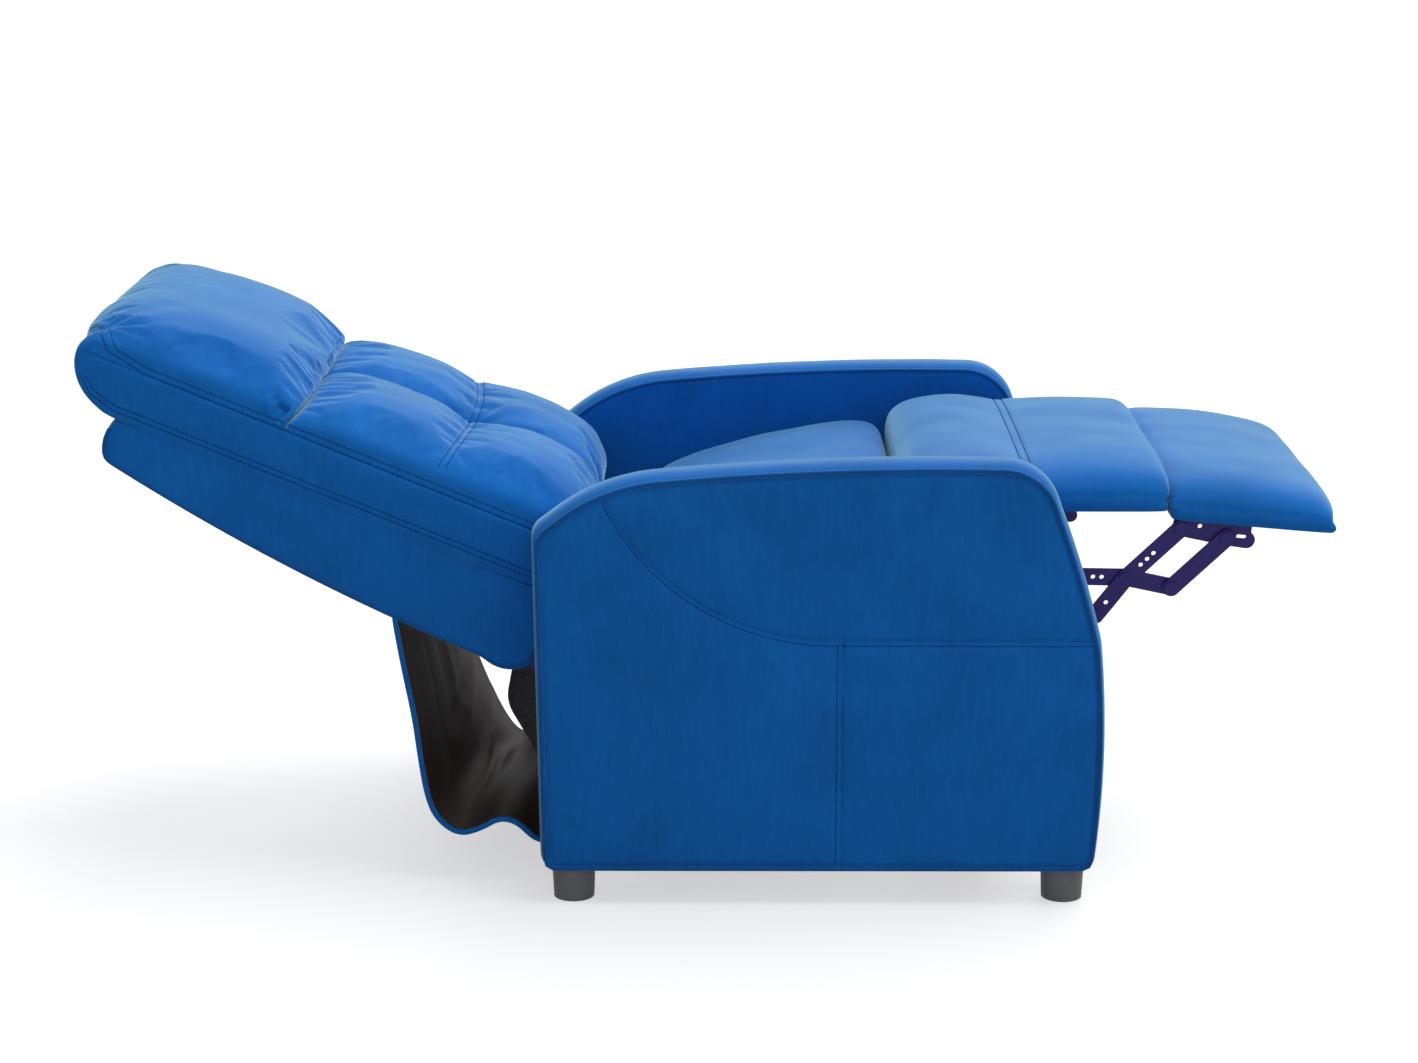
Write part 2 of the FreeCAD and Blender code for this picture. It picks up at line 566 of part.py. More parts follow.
outer_link = link([Q, P2], LONG_Y, [], [Q])
outer_link = outer_link.cut(rod(P2, RIVET + SIDE_PLAY, LONG_Y - 1, LONG_Y + STEEL + 1))
rear_link = link([REAR_PIVOT, R], REAR_Y, [R], [REAR_PIVOT])
joint_top = CROSS_Y + STEEL + SIDE_PLAY
rear_stud = rod(R, RIVET, REAR_Y, joint_top).fuse(rod(R, HEAD, joint_top, joint_top + HEAD_THICK))
nodes["drive_links"] = both(drive_link)
nodes["drive_rivets"] = both(rivet(T, CROSS_Y, long_top))
nodes["long_links"] = both(long_link)
nodes["long_rivets"] = both(Part.makeCompound([rivet(CROSS_POINT, CROSS_Y, long_top),
                                               rivet(P1, CROSS_Y, long_top)]))
nodes["cross_links"] = both(cross_link)
nodes["cross_rivets"] = both(rivet(Q, CROSS_Y, long_top))
nodes["outer_links"] = both(outer_link)
nodes["rear_links"] = both(rear_link)
nodes["rear_rivets"] = both(rear_stud)

# Footrest: board, pad and angle brackets
bracket = strip([P1, P2, polar(P2, 26, -8)], LINK_HALF, CROSS_Y, CROSS_Y + STEEL)
web = placed([(4, 0), (104, 0), (104, -14), (4, -14)], foot)
flange = placed([(4, 0), (104, 0), (104, -STEEL), (4, -STEEL)], foot)
bracket = bracket.multiFuse([slab(web, CROSS_Y, CROSS_Y + STEEL), slab(flange, CROSS_Y - 22, CROSS_Y)])
bracket = bracket.removeSplitter()
bracket = bracket.cut(rod(P1, RIVET + RUN, CROSS_Y - 1, CROSS_Y + STEEL + 1))
bracket = bracket.cut(rod(P2, RIVET, CROSS_Y - 1, CROSS_Y + STEEL + 1))
bracket = bracket.cut(rod(foot(38, -9), LINK_HOLE, CROSS_Y - 1, CROSS_Y + STEEL + 1))
bracket = bracket.cut(strip([foot(88, -18), foot(96, -18)], 2.5, CROSS_Y - 1, CROSS_Y + STEEL + 1))


def rest_section(rise):
    path = [(-2, 12.3), (202, 12.3), (207, 22 + rise / 2, 193, 34 + rise),
            (100, 50 + rise, 8, 47 + rise), (-4, 30 + rise / 2, -2, 12.3)]
    return placed(path, foot)


nodes["footrest_brackets"] = both(bracket)
nodes["bracket_rivets"] = both(rivet(P2, CROSS_Y, long_top))
nodes["footrest_board"] = slab(placed([(2, 0), (199, 0), (199, 12), (2, 12)], foot),
                               -BOARD_HALF, BOARD_HALF)
nodes["footrest_pad"] = cushion(rest_section, [(PAD_HALF, -14), (PAD_HALF - 26, -2),
                                               (110, 4), (0, 5)])

# Mid pad: board, pad and the brackets it turns on
MID_LOW = 499.0
MID_BOARD = 12.0


def mid_section(rise):
    low = MID_LOW + MID_BOARD + 0.3
    return [(413, low), (579, low), (583, low + 12 + rise / 2, 574, low + 24 + rise),
            (495, low + 36 + rise, 420, low + 32 + rise), (412, low + 16 + rise / 2, 413, low)]


mid_bracket = strip([MID_PIVOT, (462.0, MID_LOW - 11)], 9, REAR_Y, REAR_Y + STEEL)
mid_bracket = mid_bracket.fuse(box(425, 470, REAR_Y, REAR_Y + STEEL, MID_LOW - 12, MID_LOW))
mid_bracket = mid_bracket.removeSplitter()
mid_bracket = mid_bracket.cut(rod(MID_PIVOT, RIVET + RUN, REAR_Y - 1, REAR_Y + STEEL + 1))
mid_pad = cushion(mid_section, [(PAD_HALF, -12), (PAD_HALF - 26, -2), (110, 3), (0, 4)])
mid_board = box(424, 577, -BOARD_HALF, BOARD_HALF, MID_LOW, MID_LOW + MID_BOARD)
nodes["mid_board"] = mid_board.cut(both(mid_bracket))
nodes["mid_pad"] = mid_pad.cut(hinge_gap)
nodes["mid_brackets"] = both(mid_bracket)

if __name__ == "__main__":
    os.makedirs("parts", exist_ok=True)
    for name, shape in nodes.items():
        shape.exportStep("parts/" + name + ".step")
    print(len(nodes), "pieces written")
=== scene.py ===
# %% [markdown]
# This lesson dresses a push-back recliner chair that was built as a set of steel, timber
# and foam solids. The solids come in as a fixed frame, and every soft piece is then made
# here as a mesh of its own, because cloth over foam is what the eye reads first.

# %% Load the frame
import json
import math

import bmesh
import bpy
import numpy as np
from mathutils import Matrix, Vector
from mathutils import noise
from mathutils.bvhtree import BVHTree


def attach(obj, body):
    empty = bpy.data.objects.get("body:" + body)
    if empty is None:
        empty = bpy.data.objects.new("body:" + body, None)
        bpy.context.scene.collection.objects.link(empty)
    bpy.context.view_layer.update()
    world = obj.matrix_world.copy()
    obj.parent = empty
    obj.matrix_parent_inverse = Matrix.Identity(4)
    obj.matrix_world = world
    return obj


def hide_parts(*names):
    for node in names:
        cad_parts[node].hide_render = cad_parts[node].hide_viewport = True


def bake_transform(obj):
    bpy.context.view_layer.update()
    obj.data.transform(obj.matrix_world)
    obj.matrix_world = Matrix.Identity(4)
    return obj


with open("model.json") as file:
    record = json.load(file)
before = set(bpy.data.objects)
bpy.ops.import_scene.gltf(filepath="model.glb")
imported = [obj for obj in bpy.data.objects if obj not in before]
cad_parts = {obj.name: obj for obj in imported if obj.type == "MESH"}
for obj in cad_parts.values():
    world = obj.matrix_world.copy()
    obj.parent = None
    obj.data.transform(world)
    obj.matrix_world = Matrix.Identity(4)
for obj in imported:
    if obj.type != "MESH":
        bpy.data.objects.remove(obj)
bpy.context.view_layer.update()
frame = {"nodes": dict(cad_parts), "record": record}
MM = 0.001
print("frame nodes", len(frame["nodes"]))

# %% [markdown]
# Colours are written as the sRGB hex values that a paint chart would give. Blender's
# shaders work in linear light, so one function does the change. One more function adds
# a shader node, sets it up and links it, which keeps each material short enough to read.


# %% Colour and node helpers
def linear(code):
    """An sRGB hex colour as linear red, green, blue and alpha."""
    out = []
    for i in (1, 3, 5):
        c = int(code[i:i + 2], 16) / 255
        out.append(c / 12.92 if c <= 0.04045 else ((c + 0.055) / 1.055) ** 2.4)
    return (*out, 1.0)


def add_node(tree, kind, sockets=None, **settings):
    """One shader node: plain settings, and sockets given a value or another socket."""
    node = tree.nodes.new(kind)
    for key, value in settings.items():
        setattr(node, key, value)
    for key, value in (sockets or {}).items():
        if isinstance(value, bpy.types.NodeSocket):
            tree.links.new(value, node.inputs[key])
        else:
            node.inputs[key].default_value = value
    return node


def new_material(name):
    """An empty material with a Principled shader wired to its output."""
    material = bpy.data.materials.new(name)
    material.use_nodes = True
    tree = material.node_tree
    tree.nodes.clear()
    shader = add_node(tree, "ShaderNodeBsdfPrincipled")
    add_node(tree, "ShaderNodeOutputMaterial", {"Surface": shader.outputs["BSDF"]})
    return material, tree, shader


def per_metre(size_mm):
    """Noise scale that gives features of a size in millimetres."""
    return 1000 / size_mm


# %% [markdown]
# The cover is polyester velvet: a knitted ground with a short cut pile. The pile leans,
# so patches that were brushed another way look lighter or darker, and light that grazes
# the fibre tips gives a pale sheen along every rounded edge. Real pile tips are about
# 0.2 mm apart, too fine to show here, so the grain is drawn at 1.6 mm.


# %% Velvet
def velvet(name, deep, mid, lit):
    """Cut-pile velvet from its brushed-down, middle and brushed-up colours."""
    material, tree, shader = new_material(name)
    place = add_node(tree, "ShaderNodeTexCoord").outputs["Object"]
    brushed = add_node(tree, "ShaderNodeTexNoise", {
        "Vector": place, "Scale": per_metre(150), "Detail": 3.0, "Roughness": 0.55,
        "Distortion": 0.6})
    streaks = add_node(tree, "ShaderNodeMapping", {
        "Vector": place, "Scale": (1.0, 1.0, 0.16)})
    streak = add_node(tree, "ShaderNodeTexNoise", {
        "Vector": streaks.outputs["Vector"], "Scale": per_metre(5), "Detail": 4.0,
        "Roughness": 0.65})
    both = add_node(tree, "ShaderNodeMix", {
        "Factor": 0.38, "A": brushed.outputs["Fac"], "B": streak.outputs["Fac"]})
    ramp = add_node(tree, "ShaderNodeValToRGB", {"Fac": both.outputs["Result"]})
    ramp.color_ramp.elements[0].position = 0.30
    ramp.color_ramp.elements[0].color = linear(deep)
    ramp.color_ramp.elements[1].position = 0.72
    ramp.color_ramp.elements[1].color = linear(lit)
    middle = ramp.color_ramp.elements.new(0.5)
    middle.color = linear(mid)
    pile = add_node(tree, "ShaderNodeTexNoise", {
        "Vector": place, "Scale": per_metre(1.6), "Detail": 2.0, "Roughness": 0.7})
    rough = add_node(tree, "ShaderNodeMapRange", {
        "Value": pile.outputs["Fac"], "To Min": 0.62, "To Max": 0.9})
    bump = add_node(tree, "ShaderNodeBump", {
        "Height": pile.outputs["Fac"], "Strength": 0.35, "Distance": 0.0006})
    tree.links.new(ramp.outputs["Color"], shader.inputs["Base Color"])
    tree.links.new(rough.outputs["Result"], shader.inputs["Roughness"])
    tree.links.new(bump.outputs["Normal"], shader.inputs["Normal"])
    shader.inputs["Specular IOR Level"].default_value = 0.12
    shader.inputs["Sheen Weight"].default_value = 1.0
    shader.inputs["Sheen Roughness"].default_value = 0.32
    shader.inputs["Sheen Tint"].default_value = linear("#B8F0FC")
    return material


blue_velvet = velvet("blue_polyester_velvet", "#0D60AF", "#0F6AC0", "#1174CF")
# The piping uses the same velvet painted darker: painted shade for the dark line that runs along each
# cord.
piping_velvet_painted_shade = velvet("piping_velvet_painted_shade", "#0B539A", "#0C59A5", "#0D60B0")
print("velvets", blue_velvet.name, piping_velvet_painted_shade.name)

# %% [markdown]
# The other finishes are plainer: thread, a dark woven lining, spun-bonded dust cloth,
# baked enamel on pressed steel, bright zinc plate, moulded plastic, birch plywood and
# woven elastic webbing. Each has one pattern at its own real size and a little bump.


# %% Plain finishes
def speckled(name, dark, light, size_mm, roughness, bump_mm, metallic=0.0,
             stretch=(1, 1, 1), shine=0.5):
    """A finish of two close colours in a noise pattern of a real size."""
    material, tree, shader = new_material(name)
    place = add_node(tree, "ShaderNodeTexCoord").outputs["Object"]
    scaled = add_node(tree, "ShaderNodeMapping", {"Vector": place, "Scale": stretch})
    grain = add_node(tree, "ShaderNodeTexNoise", {
        "Vector": scaled.outputs["Vector"], "Scale": per_metre(size_mm), "Detail": 4.0,
        "Roughness": 0.6})
    ramp = add_node(tree, "ShaderNodeValToRGB", {"Fac": grain.outputs["Fac"]})
    ramp.color_ramp.elements[0].position = 0.35
    ramp.color_ramp.elements[0].color = linear(dark)
    ramp.color_ramp.elements[1].position = 0.68
    ramp.color_ramp.elements[1].color = linear(light)
    spread = add_node(tree, "ShaderNodeMapRange", {
        "Value": grain.outputs["Fac"], "To Min": roughness - 0.08, "To Max": roughness + 0.08})
    bump = add_node(tree, "ShaderNodeBump", {
        "Height": grain.outputs["Fac"], "Strength": 0.4, "Distance": bump_mm * MM})
    tree.links.new(ramp.outputs["Color"], shader.inputs["Base Color"])
    tree.links.new(spread.outputs["Result"], shader.inputs["Roughness"])
    tree.links.new(bump.outputs["Normal"], shader.inputs["Normal"])
    shader.inputs["Metallic"].default_value = metallic
    shader.inputs["Specular IOR Level"].default_value = shine
    return material


thread = speckled("polyester_thread", "#062A70", "#093680", 0.8, 0.8, 0.1, shine=0.1)
lining = speckled("woven_polyester_lining", "#2B201C", "#45352E", 1.2, 0.7, 0.2, shine=0.15)
spunbond = speckled("spunbond_dust_cloth", "#0A0A0B", "#46464A", 3.2, 0.85, 0.5, shine=0.2)
enamel = speckled("baked_enamel_on_steel", "#241463", "#311E7B", 6.0, 0.42, 0.05, shine=0.3)
zinc = speckled("bright_zinc_plate", "#8C8C90", "#B4B4B8", 9.0, 0.32, 0.04, metallic=1.0)
plastic = speckled("moulded_polypropylene", "#66676B", "#747579", 1.4, 0.6, 0.12)
birch = speckled("birch_plywood", "#A98455", "#C9A877", 5.0, 0.62, 0.15, stretch=(0.12, 1, 1))
elastic = speckled("woven_elastic_webbing", "#221C18", "#3A312A", 2.0, 0.8, 0.4)
print("plain finishes", len(bpy.data.materials))

# %% [markdown]
# The frame's own rigid pieces already have the right shape. They get their finish and a
# small bevel, because a pressed or moulded edge always catches a thin line of light.

# %% Finish the rigid pieces
SLOT_FINISH = {
    "timber": birch, "dark_steel": enamel, "zinc_steel": zinc, "foot_plastic": plastic,
    "webbing": elastic, "dust_cloth": spunbond, "blue_velvet": blue_velvet,
    "skirt_velvet": blue_velvet}
DARK_RIVETS = ("drive_rivets", "long_rivets", "cross_rivets", "rear_rivets", "bracket_rivets")
slot_of = {}
for row in frame["record"]["subparts"]:
    slot_of[row["node"]] = row["material_slot"]
for name, node in frame["nodes"].items():
    finish = enamel if name in DARK_RIVETS else SLOT_FINISH[slot_of[name]]
    node.data.materials.clear()
    node.data.materials.append(finish)
    if slot_of[name] in ("dark_steel", "zinc_steel", "foot_plastic"):
        bevel = node.modifiers.new("edge", "BEVEL")
        bevel.width = 2.5 * MM if slot_of[name] == "foot_plastic" else 0.8 * MM
        bevel.segments = 2
        bevel.limit_method = "ANGLE"
        bevel.angle_limit = math.radians(50)
print("rigid pieces finished", len(slot_of))

# %% [markdown]
# Soft pieces are drawn from side-view outlines in millimetres, as a pattern cutter
# would draw them. An outline is a list of points, where a longer entry is an arc through
# a middle point. It is sampled evenly and its corners are rounded by averaging, since
# no stuffed edge is sharp.


# %% Outline helpers
def arc_points(a, m, b, count):
    """Points on the arc from a through m to b."""
    ax, az = a
    bx, bz = b
    mx, mz = m
    d = 2 * (ax * (mz - bz) + mx * (bz - az) + bx * (az - mz))
    sa = ax * ax + az * az
    sm = mx * mx + mz * mz
    sb = bx * bx + bz * bz
    cx = (sa * (mz - bz) + sm * (bz - az) + sb * (az - mz)) / d
    cz = (sa * (bx - mx) + sm * (ax - bx) + sb * (mx - ax)) / d
    r = math.hypot(ax - cx, az - cz)
    t0 = math.atan2(az - cz, ax - cx)
    tm = math.atan2(mz - cz, mx - cx)
    t1 = math.atan2(bz - cz, bx - cx)
    turn = (t1 - t0) % (2 * math.pi)
    if (tm - t0) % (2 * math.pi) > turn:
        turn -= 2 * math.pi
    t = t0 + turn * np.linspace(0, 1, count)
    return np.stack([cx + r * np.cos(t), cz + r * np.sin(t)], 1)


def even(points, count, closed):
    """A polyline sampled again at even steps."""
    pts = np.asarray(points, float)
    if closed:
        pts = np.vstack([pts, pts[:1]])
    step = np.linalg.norm(np.diff(pts, axis=0), axis=1)
    along = np.concatenate([[0], np.cumsum(step)])
    want = np.linspace(0, along[-1], count + 1)[:count] if closed else np.linspace(0, along[-1], count)
    return np.stack([np.interp(want, along, pts[:, k]) for k in range(pts.shape[1])], 1)


def trace(path, count, soften=0):
    """A closed outline as evenly spaced points with its corners eased."""
    pts = [np.array(path[0][:2], float)]
    here = path[0][-2:]
    for step in list(path[1:]) + [path[0]]:
        if len(step) == 4:
            pts.extend(arc_points(here, step[:2], step[2:], 24)[1:])
        else:
            pts.append(np.array(step, float))
        here = step[-2:]
    loop = even(np.array(pts[:-1]), count, True)
    for _ in range(soften):
        loop = 0.5 * loop + 0.25 * (np.roll(loop, 1, 0) + np.roll(loop, -1, 0))
    return loop


def distance_to(points, line):
    """Distance from each 2-D point to a polyline."""
    best = np.full(len(points), 1e9)
    for a, b in zip(line, line[1:]):
        d = b - a
        t = np.clip(((points - a) @ d) / max(d @ d, 1e-9), 0, 1)
        gap = points - a - t[:, None] * d
        best = np.minimum(best, np.hypot(gap[:, 0], gap[:, 1]))
    return best


def ripple(points, size_mm, seed):
    """Smooth noise from -1 to 1 at 3-D points in millimetres."""
    shift = Vector((seed * 13.7, seed * 7.1, seed * 3.3))
    return np.array([noise.noise(Vector(p) / size_mm + shift) for p in points])


# %% [markdown]
# A sewn pad is a tube of cloth: side-view loops set one after another across the chair,
# closed at each end by a side panel. One function makes the mesh from such loops. The
# panels are filled with rings that shrink to a middle point, so that they are fine
# enough to take seams and puckers of their own.


# %% Mesh helpers
def ring_faces(first, second, count):
    """Quads between two rings of vertex numbers."""
    i = np.arange(count)
    j = (i + 1) % count
    return np.stack([first + i, first + j, second + j, second + i], 1)


def tube_of(loops, rings_low, rings_high, pole_low, pole_high):
    """Vertices and faces of loops with both ends closed; also which vertices are side panels."""
    count = len(loops[0])
    verts = []
    part = []
    faces = []
    ends = []
    low_end = (loops[0], rings_low, pole_low, -1)
    high_end = (loops[-1], rings_high, pole_high, 1)
    for loop, rings, pole, side in (low_end, high_end):
        start = sum(len(v) for v in verts)
        shares = np.linspace(1, 0, rings + 1)[1:-1]
        for share in shares:
            verts.append(pole + (loop - pole) * share)
            part.append(np.full(count, side))
        verts.append(pole[None, :])
        part.append(np.full(1, side))
        ends.append((start, len(shares), side))
    body = sum(len(v) for v in verts)
    for loop in loops:
        verts.append(loop)
        part.append(np.zeros(count))
    for k in range(len(loops) - 1):
        faces.append(ring_faces(body + k * count, body + (k + 1) * count, count))
    tris = []
    for start, rings, side in ends:
        rim = body if side < 0 else body + (len(loops) - 1) * count
        order = [rim] + [start + k * count for k in range(rings)]
        for a, b in zip(order, order[1:]):
            faces.append(ring_faces(b, a, count) if side < 0 else ring_faces(a, b, count))
        last = order[-1]
        middle = start + rings * count
        for i in range(count):
            j = (i + 1) % count
            tris.append((last + j, last + i, middle) if side < 0 else (last + i, last + j, middle))
    quads = [tuple(f) for f in np.vstack(faces)]
    return np.vstack(verts), quads + tris, np.concatenate(part)


def make_piece(name, verts_mm, faces, finish):
    """A smooth mesh object from points in millimetres, facing outwards."""
    mesh = bpy.data.meshes.new(name)
    mesh.from_pydata((np.asarray(verts_mm) * MM).tolist(), [], [list(map(int, f)) for f in faces])
    mesh.validate()
    piece = bpy.data.objects.new(name, mesh)
    bpy.context.scene.collection.objects.link(piece)
    face_outwards(piece)
    mesh.materials.append(finish)
    mesh.polygons.foreach_set("use_smooth", [True] * len(mesh.polygons))
    return piece


def face_outwards(piece):
    """Turns every face outwards."""
    bm = bmesh.new()
    bm.from_mesh(piece.data)
    bmesh.ops.recalc_face_normals(bm, faces=bm.faces)
    bm.to_mesh(piece.data)
    bm.free()


def round_bar(line, radius, closed, sides=8):
    """Vertices and faces of a round bar along 3-D points."""
    line = np.asarray(line, float)
    n = len(line)
    if closed:
        ahead = np.roll(line, -1, 0) - np.roll(line, 1, 0)
    else:
        ahead = np.gradient(line, axis=0)
    ahead /= np.linalg.norm(ahead, axis=1)[:, None]
    up = np.zeros((n, 3))
    ref = np.array([0.0, 1.0, 0.0]) if abs(ahead[0][1]) < 0.8 else np.array([0.0, 0.0, 1.0])
    for i in range(n):
        ref = ref - ahead[i] * (ref @ ahead[i])
        ref = ref / np.linalg.norm(ref)
        up[i] = ref
    side = np.cross(ahead, up)
    turn = np.linspace(0, 2 * math.pi, sides, endpoint=False)
    verts = (line[:, None, :] + radius * (np.cos(turn)[None, :, None] * up[:, None, :]
             + np.sin(turn)[None, :, None] * side[:, None, :])).reshape(-1, 3)
    faces = []
    for i in range(n if closed else n - 1):
        faces.extend(map(tuple, ring_faces(i * sides, ((i + 1) % n) * sides, sides)))
    if not closed:
        faces.append(tuple(range(sides)))
        faces.append(tuple(range((n - 1) * sides, n * sides)))
    return verts, faces


def join_bars(bars):
    """Vertices and faces of several bars as one mesh."""
    verts = []
    faces = []
    base = 0
    for bar_verts, bar_faces in bars:
        verts.append(bar_verts)
        faces.extend(tuple(k + base for k in face) for face in bar_faces)
        base += len(bar_verts)
    return np.vstack(verts), faces


def closed_line(loop, step):
    """Every few points of a 3-D loop in side view, closed, to measure distances from."""
    return np.vstack([loop[:, [0, 2]], loop[:1, [0, 2]]])[::step]


# %% [markdown]
# Stitching is real geometry too: short lengths of thread that sit in the pile. Each row
# is dropped on to the finished cover by a ray, so it follows every bulge under it.

# %% Stitch helper
STITCH_PITCH = 5.6
STITCH_RADIUS = 0.55


def sew(name, piece, rows, toward, body):
    """Rows of stitches on a piece; each row is 3-D points in millimetres, dropped along toward."""
    tree = BVHTree.FromObject(piece, bpy.context.evaluated_depsgraph_get())
    aim = Vector(toward).normalized()
    bars = []
    for row in rows:
        row = np.asarray(row, float)
        length = np.linalg.norm(np.diff(row, axis=0), axis=1).sum()
        spots = even(row, max(3, int(length / STITCH_PITCH)) * 4 + 1, False)
        hits = []
        for p in spots:
            hit, normal, _, _ = tree.ray_cast(Vector(p * MM) - aim * 0.12, aim, 0.3)
            hits.append(None if hit is None else np.array(hit + normal * 0.0001) / MM)
        for i in range(0, len(spots) - 3, 4):
            dash = [h for h in hits[i:i + 4] if h is not None]
            if len(dash) < 4 or np.linalg.norm(dash[3] - dash[0]) > 2 * STITCH_PITCH:
                continue
            bars.append(round_bar(dash, STITCH_RADIUS, False, 5))
    verts, faces = join_bars(bars)
    made = make_piece(name, verts, faces, thread)
    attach(made, body)
    print(name, "stitches", len(bars))


# %% [markdown]
# Each arm is a slim padded panel. Its outer side is three pieces of velvet joined by
# double-stitched seams: a long curve, a level run to the front and an upright. A crowned
# band runs round the rim between two lines of piping. The panel bulges a little between
# its seams and dips sharply along them, which is what makes a flat side look sewn.

# %% Arm shape
ARM_REAR, ARM_FRONT, ARM_TOP, FOOT_HEIGHT = -221.0, 505.0, 578.0, 48.0
ARM_INNER, ARM_OUTER = 280.0, 350.0
BAND_CROWN, PIPING_RADIUS = 8.0, 2.9
ARM_PATH = [
    (-205.0, 48.0), (484.0, 48.0), (494.5, 51.5, 498.0, 62.0), (505.0, 205.0, 497.0, 345.0),
    (473.0, 431.0, 441.0, 522.0), (417.0, 561.0, 366.0, 578.0), (150.0, 576.0, -66.0, 562.0),
    (-150.0, 539.0, -205.0, 503.0), (-218.0, 491.0, -221.0, 474.0), (-215.0, 58.0),
    (-212.0, 51.0, -205.0, 48.0)]
ARM_COUNT = 720
arm_loop = trace(ARM_PATH, ARM_COUNT, 3)
ARM_MID = (142.0, 300.0)
curve = arc_points((-136.0, 545.0), (-35.0, 417.0), (166.0, 352.0), 40)
SEAM_LEVEL = np.vstack([curve, [[505.0, 352.0]]])
SEAM_UPRIGHT = np.array([[170.0, 352.0], [170.0, 48.0]])
STITCH_ASIDE = 7.0


def arm_ring(inset):
    """The rim drawn in at its ends and top, as the crown falls away to the piping."""
    kx = 1 - 2 * inset / (ARM_FRONT - ARM_REAR)
    kz = 1 - inset / (ARM_TOP - FOOT_HEIGHT)
    x = ARM_MID[0] + (arm_loop[:, 0] - ARM_MID[0]) * kx
    z = FOOT_HEIGHT + (arm_loop[:, 1] - FOOT_HEIGHT) * kz
    return np.stack([x, z], 1)


def arm(side, sign):
    """One arm's cover, piping and stitching; sign is 1 on the left and -1 on the right."""
    stations = np.array([0, 1, 2.5, 5, 9, 15, 22, 29, 35, 41, 48, 55, 61, 65, 67.5, 69, 70]) + ARM_INNER
    loops = []
    for y in stations:
        fall = abs(2 * y - ARM_INNER - ARM_OUTER) / (ARM_OUTER - ARM_INNER)
        ring = arm_ring(BAND_CROWN * fall ** 2.6)
        loops.append(np.stack([ring[:, 0], np.full(ARM_COUNT, y), ring[:, 1]], 1))
    rim_in = loops[0]
    rim_out = loops[-1]
    pole_in = np.array([ARM_MID[0], ARM_INNER, ARM_MID[1]])
    pole_out = np.array([ARM_MID[0], ARM_OUTER, ARM_MID[1]])
    verts, faces, part = tube_of(loops, 26, 92, pole_in, pole_out)
    flat = verts[:, [0, 2]]
    rim = closed_line(rim_out, 6)
    outer = part == 1
    edge = distance_to(flat[outer], rim)
    seam = np.minimum(distance_to(flat[outer], SEAM_LEVEL), distance_to(flat[outer], SEAM_UPRIGHT))
    near = np.minimum(edge, seam)
    second = np.minimum(distance_to(flat[outer], SEAM_LEVEL - [0, STITCH_ASIDE]),
                        distance_to(flat[outer], SEAM_UPRIGHT - [STITCH_ASIDE, 0]))
    puff = 3.0 * (1 - np.exp(-near / 20.0)) - 2.4 * np.exp(-(seam / 1.7) ** 2)
    puff -= 0.9 * np.exp(-(second / 1.6) ** 2) + 2.6 * np.exp(-((edge - 4.0) / 3.0) ** 2)
    pucker = ripple(verts[outer], 22.0, 1) * 0.7 * np.exp(-seam / 22.0)
    slow = ripple(verts[outer], 120.0, 2) * 1.1 * np.minimum(1, edge / 40.0)
    verts[outer, 1] += puff + pucker + slow
    band = part == 0
    verts[band, 2] += ripple(verts[band], 60.0, 3) * 0.5
    verts[:, 1] *= sign
    piece = make_piece("arm_" + side, verts, faces, blue_velvet)
    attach(piece, "base")
    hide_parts("arm_band_" + side, "arm_outer_panel_" + side, "arm_inner_panel_" + side)
    bars = []
    for welt, y in ((rim_out, ARM_OUTER - 0.6), (rim_in, ARM_INNER + 1.4)):
        line = welt[::3].copy()
        line[:, 1] = y * sign
        bars.append(round_bar(line, PIPING_RADIUS, True, 10))
    cord_verts, cord_faces = join_bars(bars)
    cord = make_piece("arm_piping_" + side, cord_verts, cord_faces, piping_velvet_painted_shade)
    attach(cord, "base")
    rows = []
    for line, aside in ((SEAM_LEVEL, [0, STITCH_ASIDE]), (SEAM_UPRIGHT, [STITCH_ASIDE, 0])):
        row = even(line, 120, False) - aside
        rows.append(np.stack([row[:, 0], np.full(len(row), ARM_OUTER * sign), row[:, 1]], 1)[2:-2])
    sew("arm_stitching_" + side, piece, rows, (0, -sign, 0), "base")


arm("left", 1)
arm("right", -1)
print("arm rim points", ARM_COUNT)

# %% [markdown]
# The back is drawn in its own axes: u runs up the back from its pivot and n stands out
# towards the sitter. The shell is a padded tray with a flat velvet side panel, piped
# along its lower edge. It is thick at the bottom and thin at the top.

# %% Back shell
BACK_PIVOT = np.array([-203.0, 350.0])
BACK_ANGLE = math.radians(22.5)
PAD_HALF = 262.0
PIPED_BELOW, SHELL_PIPING_RADIUS = 24.0, 2.8


def back_points(un, y):
    """Back axes (u, n) carried into the chair's frame at y."""
    un = np.asarray(un, float)
    x = BACK_PIVOT[0] - un[:, 0] * math.cos(BACK_ANGLE) + un[:, 1] * math.sin(BACK_ANGLE)
    z = BACK_PIVOT[1] + un[:, 0] * math.sin(BACK_ANGLE) + un[:, 1] * math.cos(BACK_ANGLE)
    return np.stack([x, np.broadcast_to(y, x.shape), z], 1)


BACK_OUT = np.array([math.sin(BACK_ANGLE), 0.0, math.cos(BACK_ANGLE)])
shell_path = [(-8, 36), (606, 36), (611, 12, 602, -16), (330, -58, 60, -74), (10, -70, -8, -40)]
shell_loop = trace(shell_path, 420, 5)
shell_mid = shell_loop.mean(0)
shell_loops = []
SHELL_EDGE = PAD_HALF - np.array([0.0, 1.0, 4.0, 10.0])
for y in np.concatenate([-SHELL_EDGE, np.linspace(-244, 244, 40), SHELL_EDGE[::-1]]):
    ease = 1 - 0.012 * max(0.0, (abs(y) - 246) / 16) ** 2
    loop = shell_mid + (shell_loop - shell_mid) * ease
    shell_loops.append(back_points(loop, y))
pole = back_points(shell_mid[None, :], 0.0)[0]
aside = np.array([0.0, PAD_HALF, 0.0])
verts, faces, part = tube_of(shell_loops, 26, 26, pole - aside, pole + aside)
rim = closed_line(shell_loops[0], 5)
panel = part != 0
